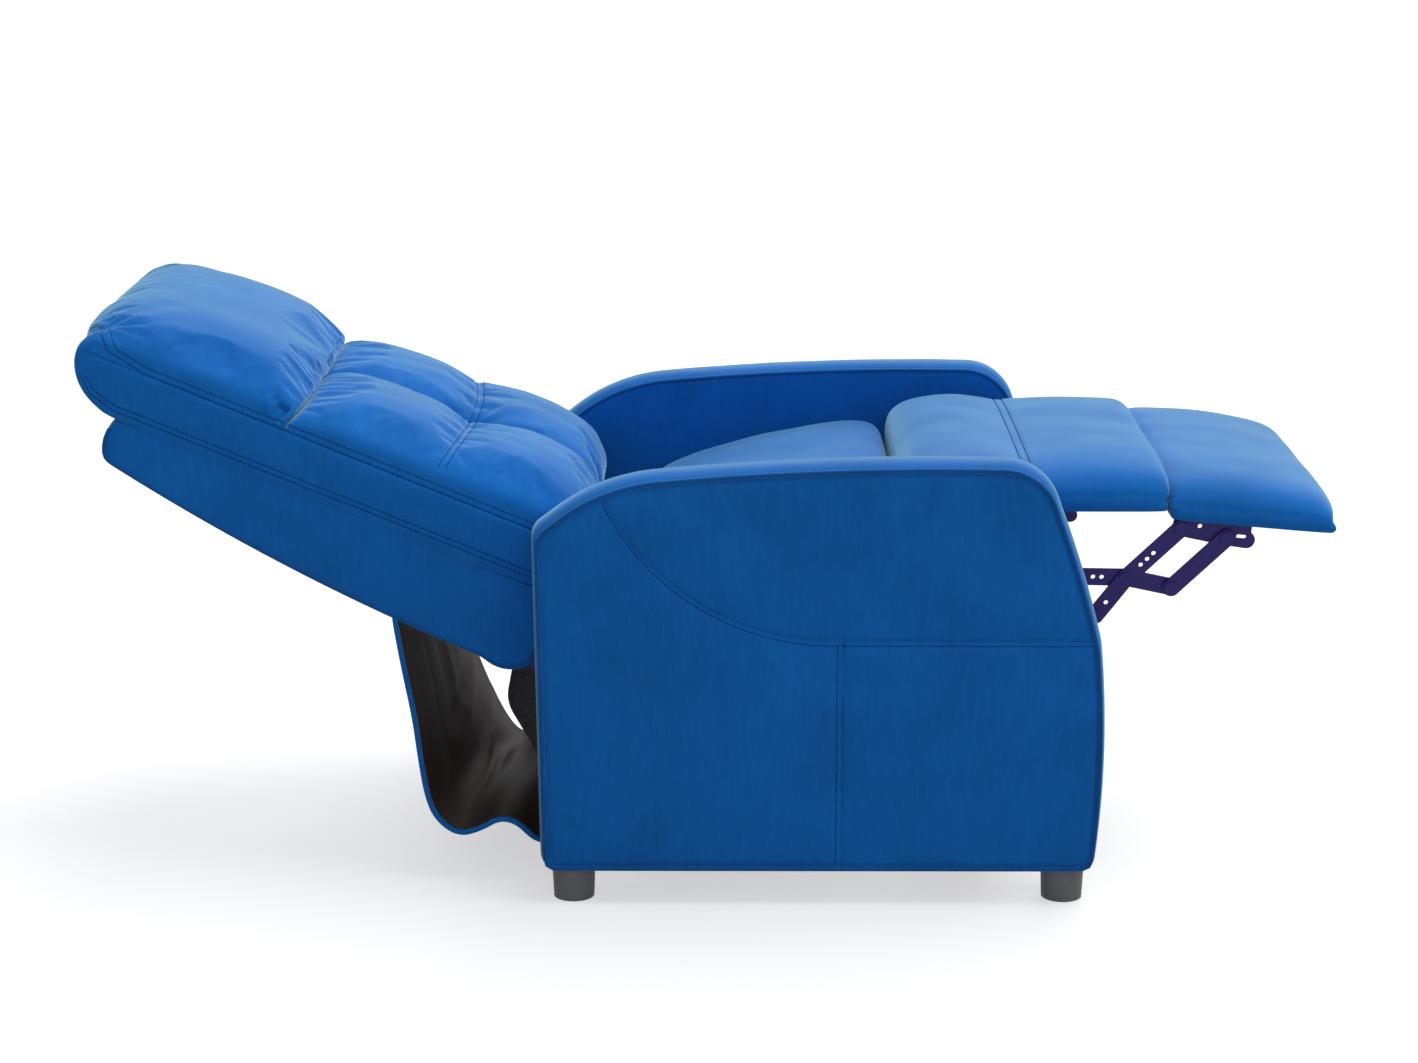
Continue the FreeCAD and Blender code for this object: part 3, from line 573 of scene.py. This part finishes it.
edge = distance_to(verts[panel][:, [0, 2]], rim)
bulge = 1.5 * (1 - np.exp(-edge / 20.0)) + ripple(verts[panel], 90.0, 5) * 1.2
verts[panel, 1] += part[panel] * bulge
verts[~panel] += (ripple(verts[~panel], 110.0, 6) * 1.2)[:, None] * BACK_OUT
back_shell = make_piece("back_shell_cover", verts, faces, blue_velvet)
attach(back_shell, "back")
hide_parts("back_shell")
line = shell_mid + (shell_loop - shell_mid) * 0.99
low = line[line[:, 1] < PIPED_BELOW]
bars = []
for y in (1.0 - PAD_HALF, PAD_HALF - 1.0):
    bars.append(round_bar(back_points(low, y)[::2], SHELL_PIPING_RADIUS, False, 10))
cord_verts, cord_faces = join_bars(bars)
shell_piping = make_piece("back_shell_piping", cord_verts, cord_faces, piping_velvet_painted_shade)
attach(shell_piping, "back")
print("back shell verts", len(verts))

# %% [markdown]
# The back cushion is one sewn cover: four soft puffs for the loins, two by two, and a
# plump head pillow above them. Along each side a flat gusset joins all of it. The cover
# is drawn twice in side view, once through the middle and once along the gusset, with
# matching points, and every station across the chair is a mix of the two.

# %% Back cushion outlines
PILLOW_CREASE, CROSS_SEAM, SEAM_BOW = 400.0, 188.0, 18.0
MID_LINE = [
    (-6, 35), (300, 35), (606, 35), (655, 52), (678, 76), (688, 100), (685, 121), (671, 138),
    (641, 153), (600, 165), (550, 173), (490, 176), (436, 172), (402, 162), (386, 146), (401, 124),
    (410, 103), (398, 122), (383, 148), (340, 158), (270, 163), (208, 164), (162, 166), (105, 171),
    (51, 169), (10, 156), (-10, 124), (-14, 90), (-12, 60)]
SIDE_LINE = [
    (-6, 35), (300, 35), (606, 35), (640, 46), (663, 62), (674, 84), (675, 103), (664, 119),
    (645, 115), (612, 111), (560, 110), (500, 110), (450, 110), (420, 110), (408, 110), (406, 109),
    (404, 108), (402.5, 108.5), (399, 109.5), (345, 110), (270, 110), (208, 110), (162, 110), (105, 110),
    (51, 110), (14, 109), (-5, 103), (-12, 85), (-11, 58)]
LAST_PILLOW_POINT = 15
FULLNESS = 2.6
PAD_EDGE = PAD_HALF - np.array([0.0, 1.0, 3.5, 7.0, 12.0])
STATIONS = np.concatenate([-PAD_EDGE, np.linspace(-244, 244, 110), PAD_EDGE[::-1]])


def round_loop(points, rounds):
    """A closed outline with its corners cut again and again until it is smooth."""
    line = np.asarray(points, float)
    for _ in range(rounds):
        after = np.roll(line, -1, 0)
        mixed = np.empty((2 * len(line), 2))
        mixed[0::2] = 0.75 * line + 0.25 * after
        mixed[1::2] = 0.25 * line + 0.75 * after
        line = mixed
    return line


def back_loop(y):
    """The cover's outline at y, from gusset line to middle line."""
    t = min(1.0, abs(y) / PAD_HALF)
    puff = (1 - max(0.0, (t - 0.45) / 0.55) ** FULLNESS) ** (1 / FULLNESS) * (1 - 0.04 * t * t)
    plump = (1 - max(0.0, (t - 0.20) / 0.80) ** FULLNESS) ** (1 / FULLNESS)
    share = np.full((len(MID_LINE), 1), puff)
    share[:LAST_PILLOW_POINT + 1] = plump
    mid = np.array(MID_LINE, float)
    side = np.array(SIDE_LINE, float)
    return round_loop(side + (mid - side) * share, 4)


loops_un = [back_loop(y) for y in STATIONS]
print("back cushion loop points", len(loops_un[0]))

# %% [markdown]
# Sewing and sitting shape the cover further. A crease runs up the middle of the puffs
# and a seam crosses it, with a deep tuft where they meet. Slack velvet gathers into long
# soft wrinkles that run away from the seams, and into short ones where the pillow is
# tucked in above the puffs. These are small moves of the cover, worked out point by point.


# %% Creases and wrinkles of the back
def smooth_step(x):
    """A step from 0 to 1 that starts and ends gently."""
    x = np.clip(x, 0, 1)
    return x * x * (3 - 2 * x)


def field(a, b, seed):
    """Smooth noise over two stretched coordinates."""
    return np.array([noise.noise(Vector((p, q, seed))) for p, q in zip(a, b)])


def cross_seam(y):
    """Where the seam across the puffs runs: it bows towards the pillow at the sides."""
    return CROSS_SEAM + SEAM_BOW * (np.abs(y) / PAD_HALF) ** 2


def puff_moves(u, y, n):
    """How far the loin puffs are drawn in (negative) or out, in millimetres."""
    off = u - cross_seam(y)
    r = np.hypot(off, y)
    turn = np.arctan2(y, off)
    rim = 1 - (np.abs(y) / PAD_HALF) ** 4
    depth = 13 + 6 * np.exp(-(off / 85) ** 2)
    move = -depth * (0.6 * np.exp(-np.abs(y) / 10) + 0.4 * np.exp(-(y / 60) ** 2))
    move -= (6 * np.exp(-(off / 38) ** 2) + 2.8 * np.exp(-(off / 2.6) ** 2)) * rim
    move -= 1.4 * np.exp(-((off + 8) / 2.2) ** 2) * rim
    move -= 12 * np.exp(-(r / 24) ** 2)
    move += 2.4 * np.exp(-r / 65) * np.cos(8 * turn + 1.5 * np.sin(3 * turn)) * (r > 6)
    lean = y + 0.16 * np.abs(off)
    near_seam = 0.35 + 0.65 * np.exp(-np.abs(off) / 70)
    move += 3.0 * near_seam * field(u / 170, lean / 34, 3.0) * rim
    move += 2.4 * field(u / 95, y / 85, 8.0) * rim
    tuck = np.exp(-np.abs(u - PILLOW_CREASE) / 38)
    move += 3.0 * tuck * field(u / 70, y / 13, 5.0) * rim
    return move * smooth_step((n - 96) / 22)


def pillow_moves(u, y, n):
    """The same for the head pillow."""
    rim = 1 - (np.abs(y) / PAD_HALF) ** 6
    crease = np.exp(-np.abs(u - 396) / 34) * smooth_step((n - 118) / 20)
    move = 2.6 * crease * field(u / 80, y / 10, 11.0) * rim
    end = np.exp(-np.hypot(u - 672, n - 150) / 60)
    move += 2.4 * end * field((u + n) / 160, y / 22, 14.0) * rim
    corner = np.hypot(u - 655, 230 - np.abs(y))
    fan = np.arctan2(230 - np.abs(y), 665 - u)
    move += 1.8 * np.exp(-corner / 70) * np.sin(11 * fan + 2.0 * field(u / 60, y / 60, 16.0))
    move += 4.2 * field(u / 120, y / 110, 12.0) * rim
    return move * smooth_step((n - 60) / 50)


TUCK = np.array([(436.0, 143.0), (403.0, 131.0), (409.0, 108.0)])


def tuck_pull(u, y, n):
    """The three-cornered tuck at each lower corner of the pillow, drawn in sideways."""
    inside = np.full(len(u), 1e9)
    for a, b in zip(TUCK, np.roll(TUCK, -1, 0)):
        du, dn = b - a
        gap = (du * (n - a[1]) - dn * (u - a[0])) / np.hypot(du, dn)
        inside = np.minimum(inside, gap)
    at_side = smooth_step((np.abs(y) - 205) / 20)
    pull = 9.0 * smooth_step(inside / 5.0) * at_side
    over = np.exp(-((inside + 7) / 6) ** 2) * (n > 126) * at_side
    return pull - 2.5 * over


verts_un = np.vstack(loops_un)
verts_y = np.repeat(STATIONS, len(loops_un[0]))
upper = verts_un[:, 0] > PILLOW_CREASE - 3
PILLOW_HEART = np.array([555.0, 105.0])
outward = verts_un - PILLOW_HEART
outward /= np.linalg.norm(outward, axis=1)[:, None]
outward[~upper] = (0.0, 1.0)
moves = np.where(upper, pillow_moves(verts_un[:, 0], verts_y, verts_un[:, 1]),
                 puff_moves(verts_un[:, 0], verts_y, verts_un[:, 1]))
shaped = verts_un + outward * moves[:, None]
shaped_y = verts_y - np.sign(verts_y) * tuck_pull(verts_un[:, 0], verts_y, verts_un[:, 1])
per_loop = len(loops_un[0])
loops = []
for k in range(len(STATIONS)):
    ring = slice(k * per_loop, (k + 1) * per_loop)
    loops.append(back_points(shaped[ring], shaped_y[ring]))
print("deepest tuck mm", round(float(-moves.min()), 1))

# %% [markdown]
# Now the cover is closed by its gussets, and blown up a little with Blender's cloth, as
# the foam does from inside. The seams are held while the rest swells, and no point may
# move far, so the outline stays close to the one drawn above.


# %% Back cushion cover
def swell(piece, pressure, frames, cap_mm, pinned):
    """Inflates a closed cover with Blender's cloth, holds its pinned points and caps the move."""
    rest = np.array([v.co for v in piece.data.vertices])
    group = piece.vertex_groups.new(name="held")
    group.add(np.nonzero(pinned)[0].tolist(), 1.0, "REPLACE")
    cloth = piece.modifiers.new("swell", "CLOTH")
    settings = cloth.settings
    settings.quality = 5
    settings.mass = 0.25
    settings.tension_stiffness = 15
    settings.compression_stiffness = 15
    settings.shear_stiffness = 5
    settings.bending_stiffness = 0.5
    settings.use_pressure = True
    settings.uniform_pressure_force = pressure
    settings.effector_weights.gravity = 0
    settings.vertex_group_mass = "held"
    settings.shrink_min = -0.02
    cloth.collision_settings.use_collision = False
    cloth.point_cache.frame_start = 1
    cloth.point_cache.frame_end = frames
    for step in range(1, frames + 1):
        bpy.context.scene.frame_set(step)
    shown = piece.evaluated_get(bpy.context.evaluated_depsgraph_get())
    moved = np.array([v.co for v in shown.data.vertices])
    piece.modifiers.remove(cloth)
    bpy.context.scene.frame_set(1)
    move = moved - rest
    far = np.linalg.norm(move, axis=1)
    move *= np.minimum(1, cap_mm * MM / np.maximum(far, 1e-9))[:, None]
    piece.data.vertices.foreach_set("co", (rest + move).astype(np.float32).ravel())
    piece.data.update()
    print(piece.name, "swelled by up to", round(float(far.max()) / MM, 1), "mm")


GUSSET_ROWS = (47.0, 54.0, 105.0)
GUSSET_POLE = np.array([[610.0, 85.0]])
SWELL_PRESSURE, SWELL_FRAMES, SWELL_CAP = 2.5, 14, 8
poles = [back_points(GUSSET_POLE, y)[0] for y in (-PAD_HALF, PAD_HALF)]
verts, faces, part = tube_of(loops, 40, 40, poles[0], poles[1])
panel = part != 0
rim = closed_line(loops[0], 6)
edge = distance_to(verts[panel][:, [0, 2]], rim)
height = (verts[panel] - back_points(np.zeros((1, 2)), 0.0)) @ BACK_OUT
gusset = 4.0 * (1 - np.exp(-edge / 12.0))
gusset += 2.6 * ripple(verts[panel], 60.0, 21) * np.minimum(1, edge / 14)
for level in GUSSET_ROWS:
    gusset -= 1.5 * np.exp(-((height - level) / 1.8) ** 2)
verts[panel, 1] += part[panel] * gusset
back_cushion = make_piece("back_cushion_cover", verts, faces, blue_velvet)
in_panels = len(verts) - len(verts_un)
body_un = np.vstack([np.full((in_panels, 2), 1e4), verts_un])
body_y = np.concatenate([verts[:in_panels, 1], verts_y])
held = (body_un[:, 1] < 42) | (np.abs(body_y) > PAD_HALF - 8)
held |= (np.abs(body_un[:, 0] - cross_seam(body_y)) < 5) & (body_un[:, 1] > 90)
held |= (np.abs(body_y) < 4) & (body_un[:, 0] < PILLOW_CREASE)
held |= (np.abs(body_un[:, 0] - PILLOW_CREASE) < 12) & (body_un[:, 1] < 142)
swell(back_cushion, SWELL_PRESSURE, SWELL_FRAMES, SWELL_CAP, held)
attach(back_cushion, "back")
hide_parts("lumbar_cushion", "head_pillow")
print("back cushion verts", len(verts))

# %% [markdown]
# Double rows of stitches follow the cross seam and both long seams of each gusset.

# %% Back stitching
seam_rows = []
for aside in (-8.0, 1.0):
    y = np.linspace(-252, 252, 200)
    seam_rows.append(back_points(np.stack([cross_seam(y) + aside, np.full_like(y, 150.0)], 1), y))
sew("back_cross_stitching", back_cushion, seam_rows, -BACK_OUT, "back")
GUSSET_SEAMS = (
    [(0, 114), (590, 115), (634, 123), (662, 147)], [(0, 106), (590, 107), (640, 116), (668, 138)],
    [(2, 54), (606, 54), (640, 62), (658, 76)], [(2, 47), (606, 47), (644, 56), (665, 76)])
for side, sign in (("left", 1), ("right", -1)):
    rows = []
    for line in GUSSET_SEAMS:
        un = even(np.array(line, float), 160, False)
        rows.append(back_points(un, PAD_HALF * sign))
    sew("gusset_stitching_" + side, back_cushion, rows, (0, -sign, 0), "back")
print("back sewn")

# %% [markdown]
# The seat cushion lies between the arms and slopes up to the front. In front of it the
# cover goes on as one run: a raised roll that is fixed to the seat, then a pad on a
# board that folds down with the footrest. They are one mesh here, bent across the hinge,
# because the real velvet is sewn in one run too.

# %% Seat cushion
DECK_REAR, DECK_REAR_HEIGHT, DECK_SLOPE = -100.0, 342.0, 0.287
SEAM_DIP = 1.3


def deck(x):
    """Height of the seat's sloping deck."""
    return DECK_REAR_HEIGHT + (x - DECK_REAR) * DECK_SLOPE


def sewn_pad(name, mid_line, side_line, pole_xz, ripple_mm, seams=()):
    """A pad whose outline swells from its sewn border at the sides to its crown in the middle."""
    mid = np.array(mid_line, float)
    side = np.array(side_line, float)
    loops = []
    for y in STATIONS:
        crown = math.sqrt(max(0.0, 1 - (abs(y) / PAD_HALF) ** 6))
        loop = round_loop(side + (mid - side) * crown, 3)
        loops.append(np.stack([loop[:, 0], np.full(len(loop), y), loop[:, 1]], 1))
    poles = [np.array([pole_xz[0], y, pole_xz[1]]) for y in (-PAD_HALF, PAD_HALF)]
    verts, faces, part = tube_of(loops, 14, 14, poles[0], poles[1])
    panel = part != 0
    rim = closed_line(loops[0], 2)
    edge = distance_to(verts[panel][:, [0, 2]], rim)
    verts[panel, 1] += part[panel] * 2.5 * (1 - np.exp(-edge / 4.0))
    top = smooth_step((verts[:, 2] - pole_xz[1] - 8) / 14)
    verts[:, 2] += ripple(verts, 75.0, 7) * ripple_mm * top
    for x in seams:
        on_top = verts[:, 2] > pole_xz[1] + 12
        verts[:, 2] -= SEAM_DIP * np.exp(-((verts[:, 0] - x) / 2.2) ** 2) * on_top
    piece = make_piece(name, verts, faces, blue_velvet)
    print(name, "verts", len(verts))
    return piece


SEAT_FLOOR = [(-58, deck(-58)), (90, deck(90)), (238, deck(238))]
SEAT_MID = SEAT_FLOOR + [
    (247, 455), (248, 480), (240, 503), (220, 515), (180, 516), (120, 508), (60, 494), (0, 477),
    (-45, 460), (-70, 446), (-82, 425), (-82, 395), (-72, 366)]
SEAT_SIDE = SEAT_FLOOR + [
    (243, 455), (243, 472), (238, 482), (225, 486), (180, 483), (120, 472), (60, 457), (0, 440),
    (-45, 425), (-68, 415), (-78, 402), (-80, 385), (-72, 366)]
seat = sewn_pad("seat_cushion_cover", SEAT_MID, SEAT_SIDE, (80, 425), 2.2)
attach(seat, "seat")
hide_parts("seat_cushion")

# %% [markdown]
# The roll and the mid pad share one cover. A double-stitched seam crosses it over the
# hinge, and a narrow border runs along the foot of the mid pad, over its board.

# %% Roll and mid pad
HINGE_SEAMS = (403.0, 414.0)
CHAISE_FLOOR = [
    (256, deck(256)), (330, deck(330)), (402, deck(402)), (411, 497), (500, 497), (579, 497)]
CHAISE_MID = CHAISE_FLOOR + [
    (585, 499), (586, 506), (582, 512.5), (588, 519), (590, 534), (584, 547), (560, 552), (495, 554),
    (445, 551), (418, 549), (409, 547), (400, 548), (372, 553), (340, 556), (305, 553), (275, 545),
    (255, 527), (249, 500), (251, 470)]
CHAISE_SIDE = CHAISE_FLOOR + [
    (582, 499), (583, 506), (579, 512.5), (582, 514), (582, 515), (576, 515.5), (556, 515.5), (495, 515),
    (445, 515), (418, 515), (409, 514), (400, 515), (372, 517), (340, 520), (305, 519), (275, 515),
    (258, 505), (252, 490), (252, 468)]
chaise = sewn_pad("chaise_cover", CHAISE_MID, CHAISE_SIDE, (420, 506), 1.8, seams=HINGE_SEAMS)
rows = []
for x in HINGE_SEAMS:
    y = np.linspace(-254, 254, 120)
    rows.append(np.stack([np.full_like(y, x), y, np.full_like(y, 545.0)], 1))
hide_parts("front_roll", "mid_pad")
sew("chaise_stitching", chaise, rows[:1], (0, 0, -1), "seat")
sew("mid_pad_stitching", chaise, rows[1:], (0, 0, -1), "mid_flap")
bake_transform(chaise)
print("seat and chaise made")

# %% [markdown]
# The footrest is a thin pad that wraps its own board. A seam runs round it just above the
# board, so the pad bulges over a narrow border. The border stands out at the front edge.

# %% Footrest
FOOT_DIP = math.radians(4.9)
FOOT_REAR = (590.0, 487.0)


def foot_points(ab):
    """Footrest axes, a along the board and b up from it, carried into the chair's frame."""
    ab = np.asarray(ab, float)
    x = FOOT_REAR[0] + ab[:, 0] * math.cos(FOOT_DIP) + ab[:, 1] * math.sin(FOOT_DIP)
    z = FOOT_REAR[1] - ab[:, 0] * math.sin(FOOT_DIP) + ab[:, 1] * math.cos(FOOT_DIP)
    return np.stack([x, z], 1)


foot_mid = foot_points([
    (-1, -1), (100, -1), (200, -1), (208, 1), (210, 7), (206.5, 13), (212, 20), (211, 30), (198, 41),
    (165, 49), (110, 54.5), (50, 54.5), (10, 52), (-4, 45), (-8, 30), (-4, 16), (-1, 13), (-4, 6)])
foot_side = foot_points([
    (-1, -1), (100, -1), (200, -1), (207, 1), (209, 7), (203, 13), (199, 16), (194, 17), (184, 17),
    (160, 16), (110, 16), (50, 16), (10, 16), (0, 16), (-3, 15), (-3, 14), (-1, 13), (-3, 6)])
footrest = sewn_pad("footrest_cover", foot_mid, foot_side, foot_points([(100, 7)])[0], 1.6)
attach(footrest, "footrest")
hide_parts("footrest_pad")

# %% [markdown]
# Behind the seat hangs a loose skirt: velvet outside, a dark woven lining inside. Its
# top is fixed to the back and its foot to the base, so it hangs slack when the back is
# down. It is drawn as a sheet along its side view, with folds across it.

# %% Rear skirt
SKIRT_NEAR = np.array([
    (-401.5, 355.6), (-398, 329), (-389, 275), (-379, 221), (-373, 167), (-365, 112), (-352, 82),
    (-325, 62), (-297, 70), (-272, 85), (-249, 80), (-228, 58), (-214.9, 54)], float)
SKIRT_FAR = np.array([
    (-401.5, 355.6), (-388, 305), (-374, 258), (-358, 202), (-342, 150), (-317, 90), (-295, 48),
    (-277, 30), (-259, 33), (-246, 44), (-235, 50), (-226, 52), (-214.9, 54)], float)


def smooth_line(points, count):
    """A smooth curve through points, by repeated corner cutting."""
    line = np.asarray(points, float)
    for _ in range(4):
        a = 0.75 * line[:-1] + 0.25 * line[1:]
        b = 0.25 * line[:-1] + 0.75 * line[1:]
        mixed = np.empty((2 * len(a), line.shape[1]))
        mixed[0::2] = a
        mixed[1::2] = b
        line = np.vstack([line[:1], mixed, line[-1:]])
    return even(line, count, False)


def shifted(line, move):
    """A side-view line moved along its own normal."""
    ahead = np.gradient(line, axis=0)
    ahead /= np.linalg.norm(ahead, axis=1)[:, None]
    return line[:, 0] - ahead[:, 1] * move, line[:, 1] + ahead[:, 0] * move


def cloth_sheet(name, near, far, edges, folds, finish, shift):
    """A sheet hung along side-view lines between two edges; folds(y, share) gives its moves."""
    rows = len(near)
    share = np.linspace(0, 1, rows)
    columns = np.linspace(edges[0], edges[1], 100)
    verts = []
    for y in columns:
        mix = smooth_step((y + PAD_HALF) / (2 * PAD_HALF))
        x, z = shifted(near + (far - near) * mix, shift + folds(y, share))
        verts.append(np.stack([x, np.full(rows, y), z], 1))
    faces = []
    for k in range(len(columns) - 1):
        for i in range(rows - 1):
            a = k * rows + i
            faces.append((a, a + 1, a + rows + 1, a + rows))
    piece = make_piece(name, np.vstack(verts), faces, finish)
    area = sum(face.area for face in piece.data.polygons)
    print(name, "area m2", round(area, 4))
    return piece, area


SKIRT_FOLDS = ((0.60, -0.16, 0.030, 7.0), (0.70, -0.02, 0.022, 6.0), (0.79, 0.10, 0.026, 5.0))


def skirt_folds(y, share):
    """Soft upright waves near the top and a few slanting folds where the slack gathers."""
    held = np.sin(math.pi * share) ** 0.7
    t = y / PAD_HALF
    upright = np.array([noise.noise(Vector((y / 70, k * 1.1, 2.0))) for k in share])
    fine = np.array([noise.noise(Vector((y / 26, k * 1.6, 6.0))) for k in share])
    move = (2.0 * upright + 1.0 * fine * (1 - share)) * held
    for start, slant, width, height in SKIRT_FOLDS:
        gap = (share - start - slant * t - 0.03 * math.sin(3 * t + start * 20)) / width
        body = math.exp(-((t - 0.15) / 0.5) ** 2)
        move += height * body * (np.exp(-gap ** 2) - 0.7 * np.exp(-((gap + 2.1) / 1.4) ** 2))
    return move


near_line = smooth_line(SKIRT_NEAR, 130)
far_line = smooth_line(SKIRT_FAR, 130)
LINING_EDGE = 9.0
HEM_RADIUS = 3.4
SKIRT_EDGES = (-PAD_HALF, PAD_HALF)
LINING_EDGES = (-PAD_HALF + LINING_EDGE, PAD_HALF)
skirt, skirt_area = cloth_sheet(
    "rear_skirt_velvet", near_line, far_line, SKIRT_EDGES, skirt_folds, blue_velvet, 0.0)
skirt_inside, lining_area = cloth_sheet(
    "rear_skirt_lining", near_line, far_line, LINING_EDGES, skirt_folds, lining, 2.2)
SHEETS = ((skirt, SKIRT_EDGES, skirt_area), (skirt_inside, LINING_EDGES, lining_area))
for sheet, edges, area in SHEETS:
    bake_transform(sheet)
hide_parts("rear_skirt")
bars = []
for line, y, behind in ((near_line, -PAD_HALF, 0.0), (far_line, PAD_HALF, HEM_RADIUS)):
    x, z = shifted(line, -behind)
    bars.append(round_bar(np.stack([x, np.full(len(line), y), z], 1), HEM_RADIUS, False, 10))
hem_verts, hem_faces = join_bars(bars)
hem = make_piece("rear_skirt_hem", hem_verts, hem_faces, blue_velvet)
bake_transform(hem)

# %% [markdown]
# The dust cloth is black spun-bonded fabric stapled to the rear rail. It stands behind
# the works and keeps its creases.

# %% Dust cloth
DUST_CLOTH = [(-209.0, 122.0), (-224.0, 180.0), (-240.0, 205.0), (-261.0, 242.0), (-253.0, 284.0)]
DUST_EDGES = (-255.0, 255.0)
cloth_line = smooth_line(DUST_CLOTH, 50)


def crumple(y, share):
    """Small flat creases that spun-bonded cloth keeps."""
    crease = np.array([noise.noise(Vector((y / 60, k * 3.0, 9.0))) for k in share])
    return 2.5 * crease * np.sin(math.pi * share) ** 0.5


dust, _ = cloth_sheet(
    "dust_cloth_sheet", cloth_line, cloth_line, DUST_EDGES, crumple, spunbond, 0.0)
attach(dust, "base")
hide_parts("dust_cloth")

# %% [markdown]
# The chair stands on a plain pale floor in soft studio light: a wide lamp above, one
# from behind that catches the velvet's pile, and a weak fill from the front. The world
# gives a little even light. It looks white to the camera, and so does the floor, which
# throws back only a grey light so that the undersides stay dark.

# %% Stage and light
FLOOR_LIFT, FLOOR_GLOW, WORLD_LIGHT = 0.42, 1.35, 0.25
bpy.ops.mesh.primitive_plane_add(size=60, location=(0, 0, 0))
floor = bpy.context.object
floor.name = "studio_floor"
floor_finish, tree, shader = new_material("pale_studio_floor")
shader.inputs["Base Color"].default_value = linear("#FCFCFC")
shader.inputs["Roughness"].default_value = 0.6
matt = add_node(tree, "ShaderNodeBsdfDiffuse", {"Color": linear("#A8A8A8")})
path = add_node(tree, "ShaderNodeLightPath")
mirrored = add_node(tree, "ShaderNodeMath", {
    0: path.outputs["Is Glossy Ray"], 1: path.outputs["Is Transmission Ray"]}, operation="MAXIMUM")
looked_at = add_node(tree, "ShaderNodeMath", {
    0: path.outputs["Is Camera Ray"], 1: mirrored.outputs["Value"]}, operation="MAXIMUM")
glow = add_node(tree, "ShaderNodeEmission", {"Color": (1, 1, 1, 1), "Strength": FLOOR_GLOW})
lifted = add_node(tree, "ShaderNodeMixShader", {
    0: FLOOR_LIFT, 1: shader.outputs["BSDF"], 2: glow.outputs["Emission"]})
either = add_node(tree, "ShaderNodeMixShader", {
    0: looked_at.outputs["Value"], 1: matt.outputs["BSDF"], 2: lifted.outputs["Shader"]})
tree.links.new(either.outputs["Shader"], tree.nodes["Material Output"].inputs["Surface"])
floor.data.materials.append(floor_finish)
scene = bpy.context.scene
world = bpy.data.worlds.new("soft_studio")
scene.world = world
world.use_nodes = True
background = world.node_tree.nodes["Background"]
background.inputs["Color"].default_value = (1, 1, 1, 1)
path = add_node(world.node_tree, "ShaderNodeLightPath")
seen = add_node(world.node_tree, "ShaderNodeMix", {
    "Factor": path.outputs["Is Camera Ray"], "A": WORLD_LIGHT, "B": 1.0})
world.node_tree.links.new(seen.outputs["Result"], background.inputs["Strength"])


def soft_sun(name, toward, strength, spread_deg):
    """A very wide sun, which lights as a large far softbox does and leaves the floor even."""
    data = bpy.data.lights.new(name, "SUN")
    data.energy = strength
    data.angle = math.radians(spread_deg)
    item = bpy.data.objects.new(name, data)
    scene.collection.objects.link(item)
    item.rotation_euler = Vector(toward).to_track_quat("-Z", "Y").to_euler()


soft_sun("overhead_softbox", (-0.40, -0.10, -1.0), 1.9, 50)
soft_sun("rear_softbox", (-0.30, -1.0, -0.45), 1.65, 50)
soft_sun("front_fill", (-0.15, 1.0, -0.45), 0.45, 60)
print("lamps", len(bpy.data.lights))

# %% [markdown]
# The camera was fitted to the chair's feet and arms in the photograph: a long lens
# about four metres away, a little above the chair and looking down at it.

# %% Camera
CAMERA_PLACE = (0.017, -3.955149, 1.419293)
LOOK_DOWN_DEG, LOOK_ASIDE_DEG = 14.40554, 0.24171
camera_data = bpy.data.cameras.new("photo_view")
camera = bpy.data.objects.new("photo_view", camera_data)
scene.collection.objects.link(camera)
camera.location = CAMERA_PLACE
camera.rotation_euler = (math.radians(90 - LOOK_DOWN_DEG), 0, math.radians(LOOK_ASIDE_DEG))
camera_data.sensor_width = 36.0
camera_data.lens = 76.16
scene.camera = camera
scene.view_settings.view_transform = "Standard"
print("camera at", tuple(camera.location))

# %% End of the scene
print("scene built")
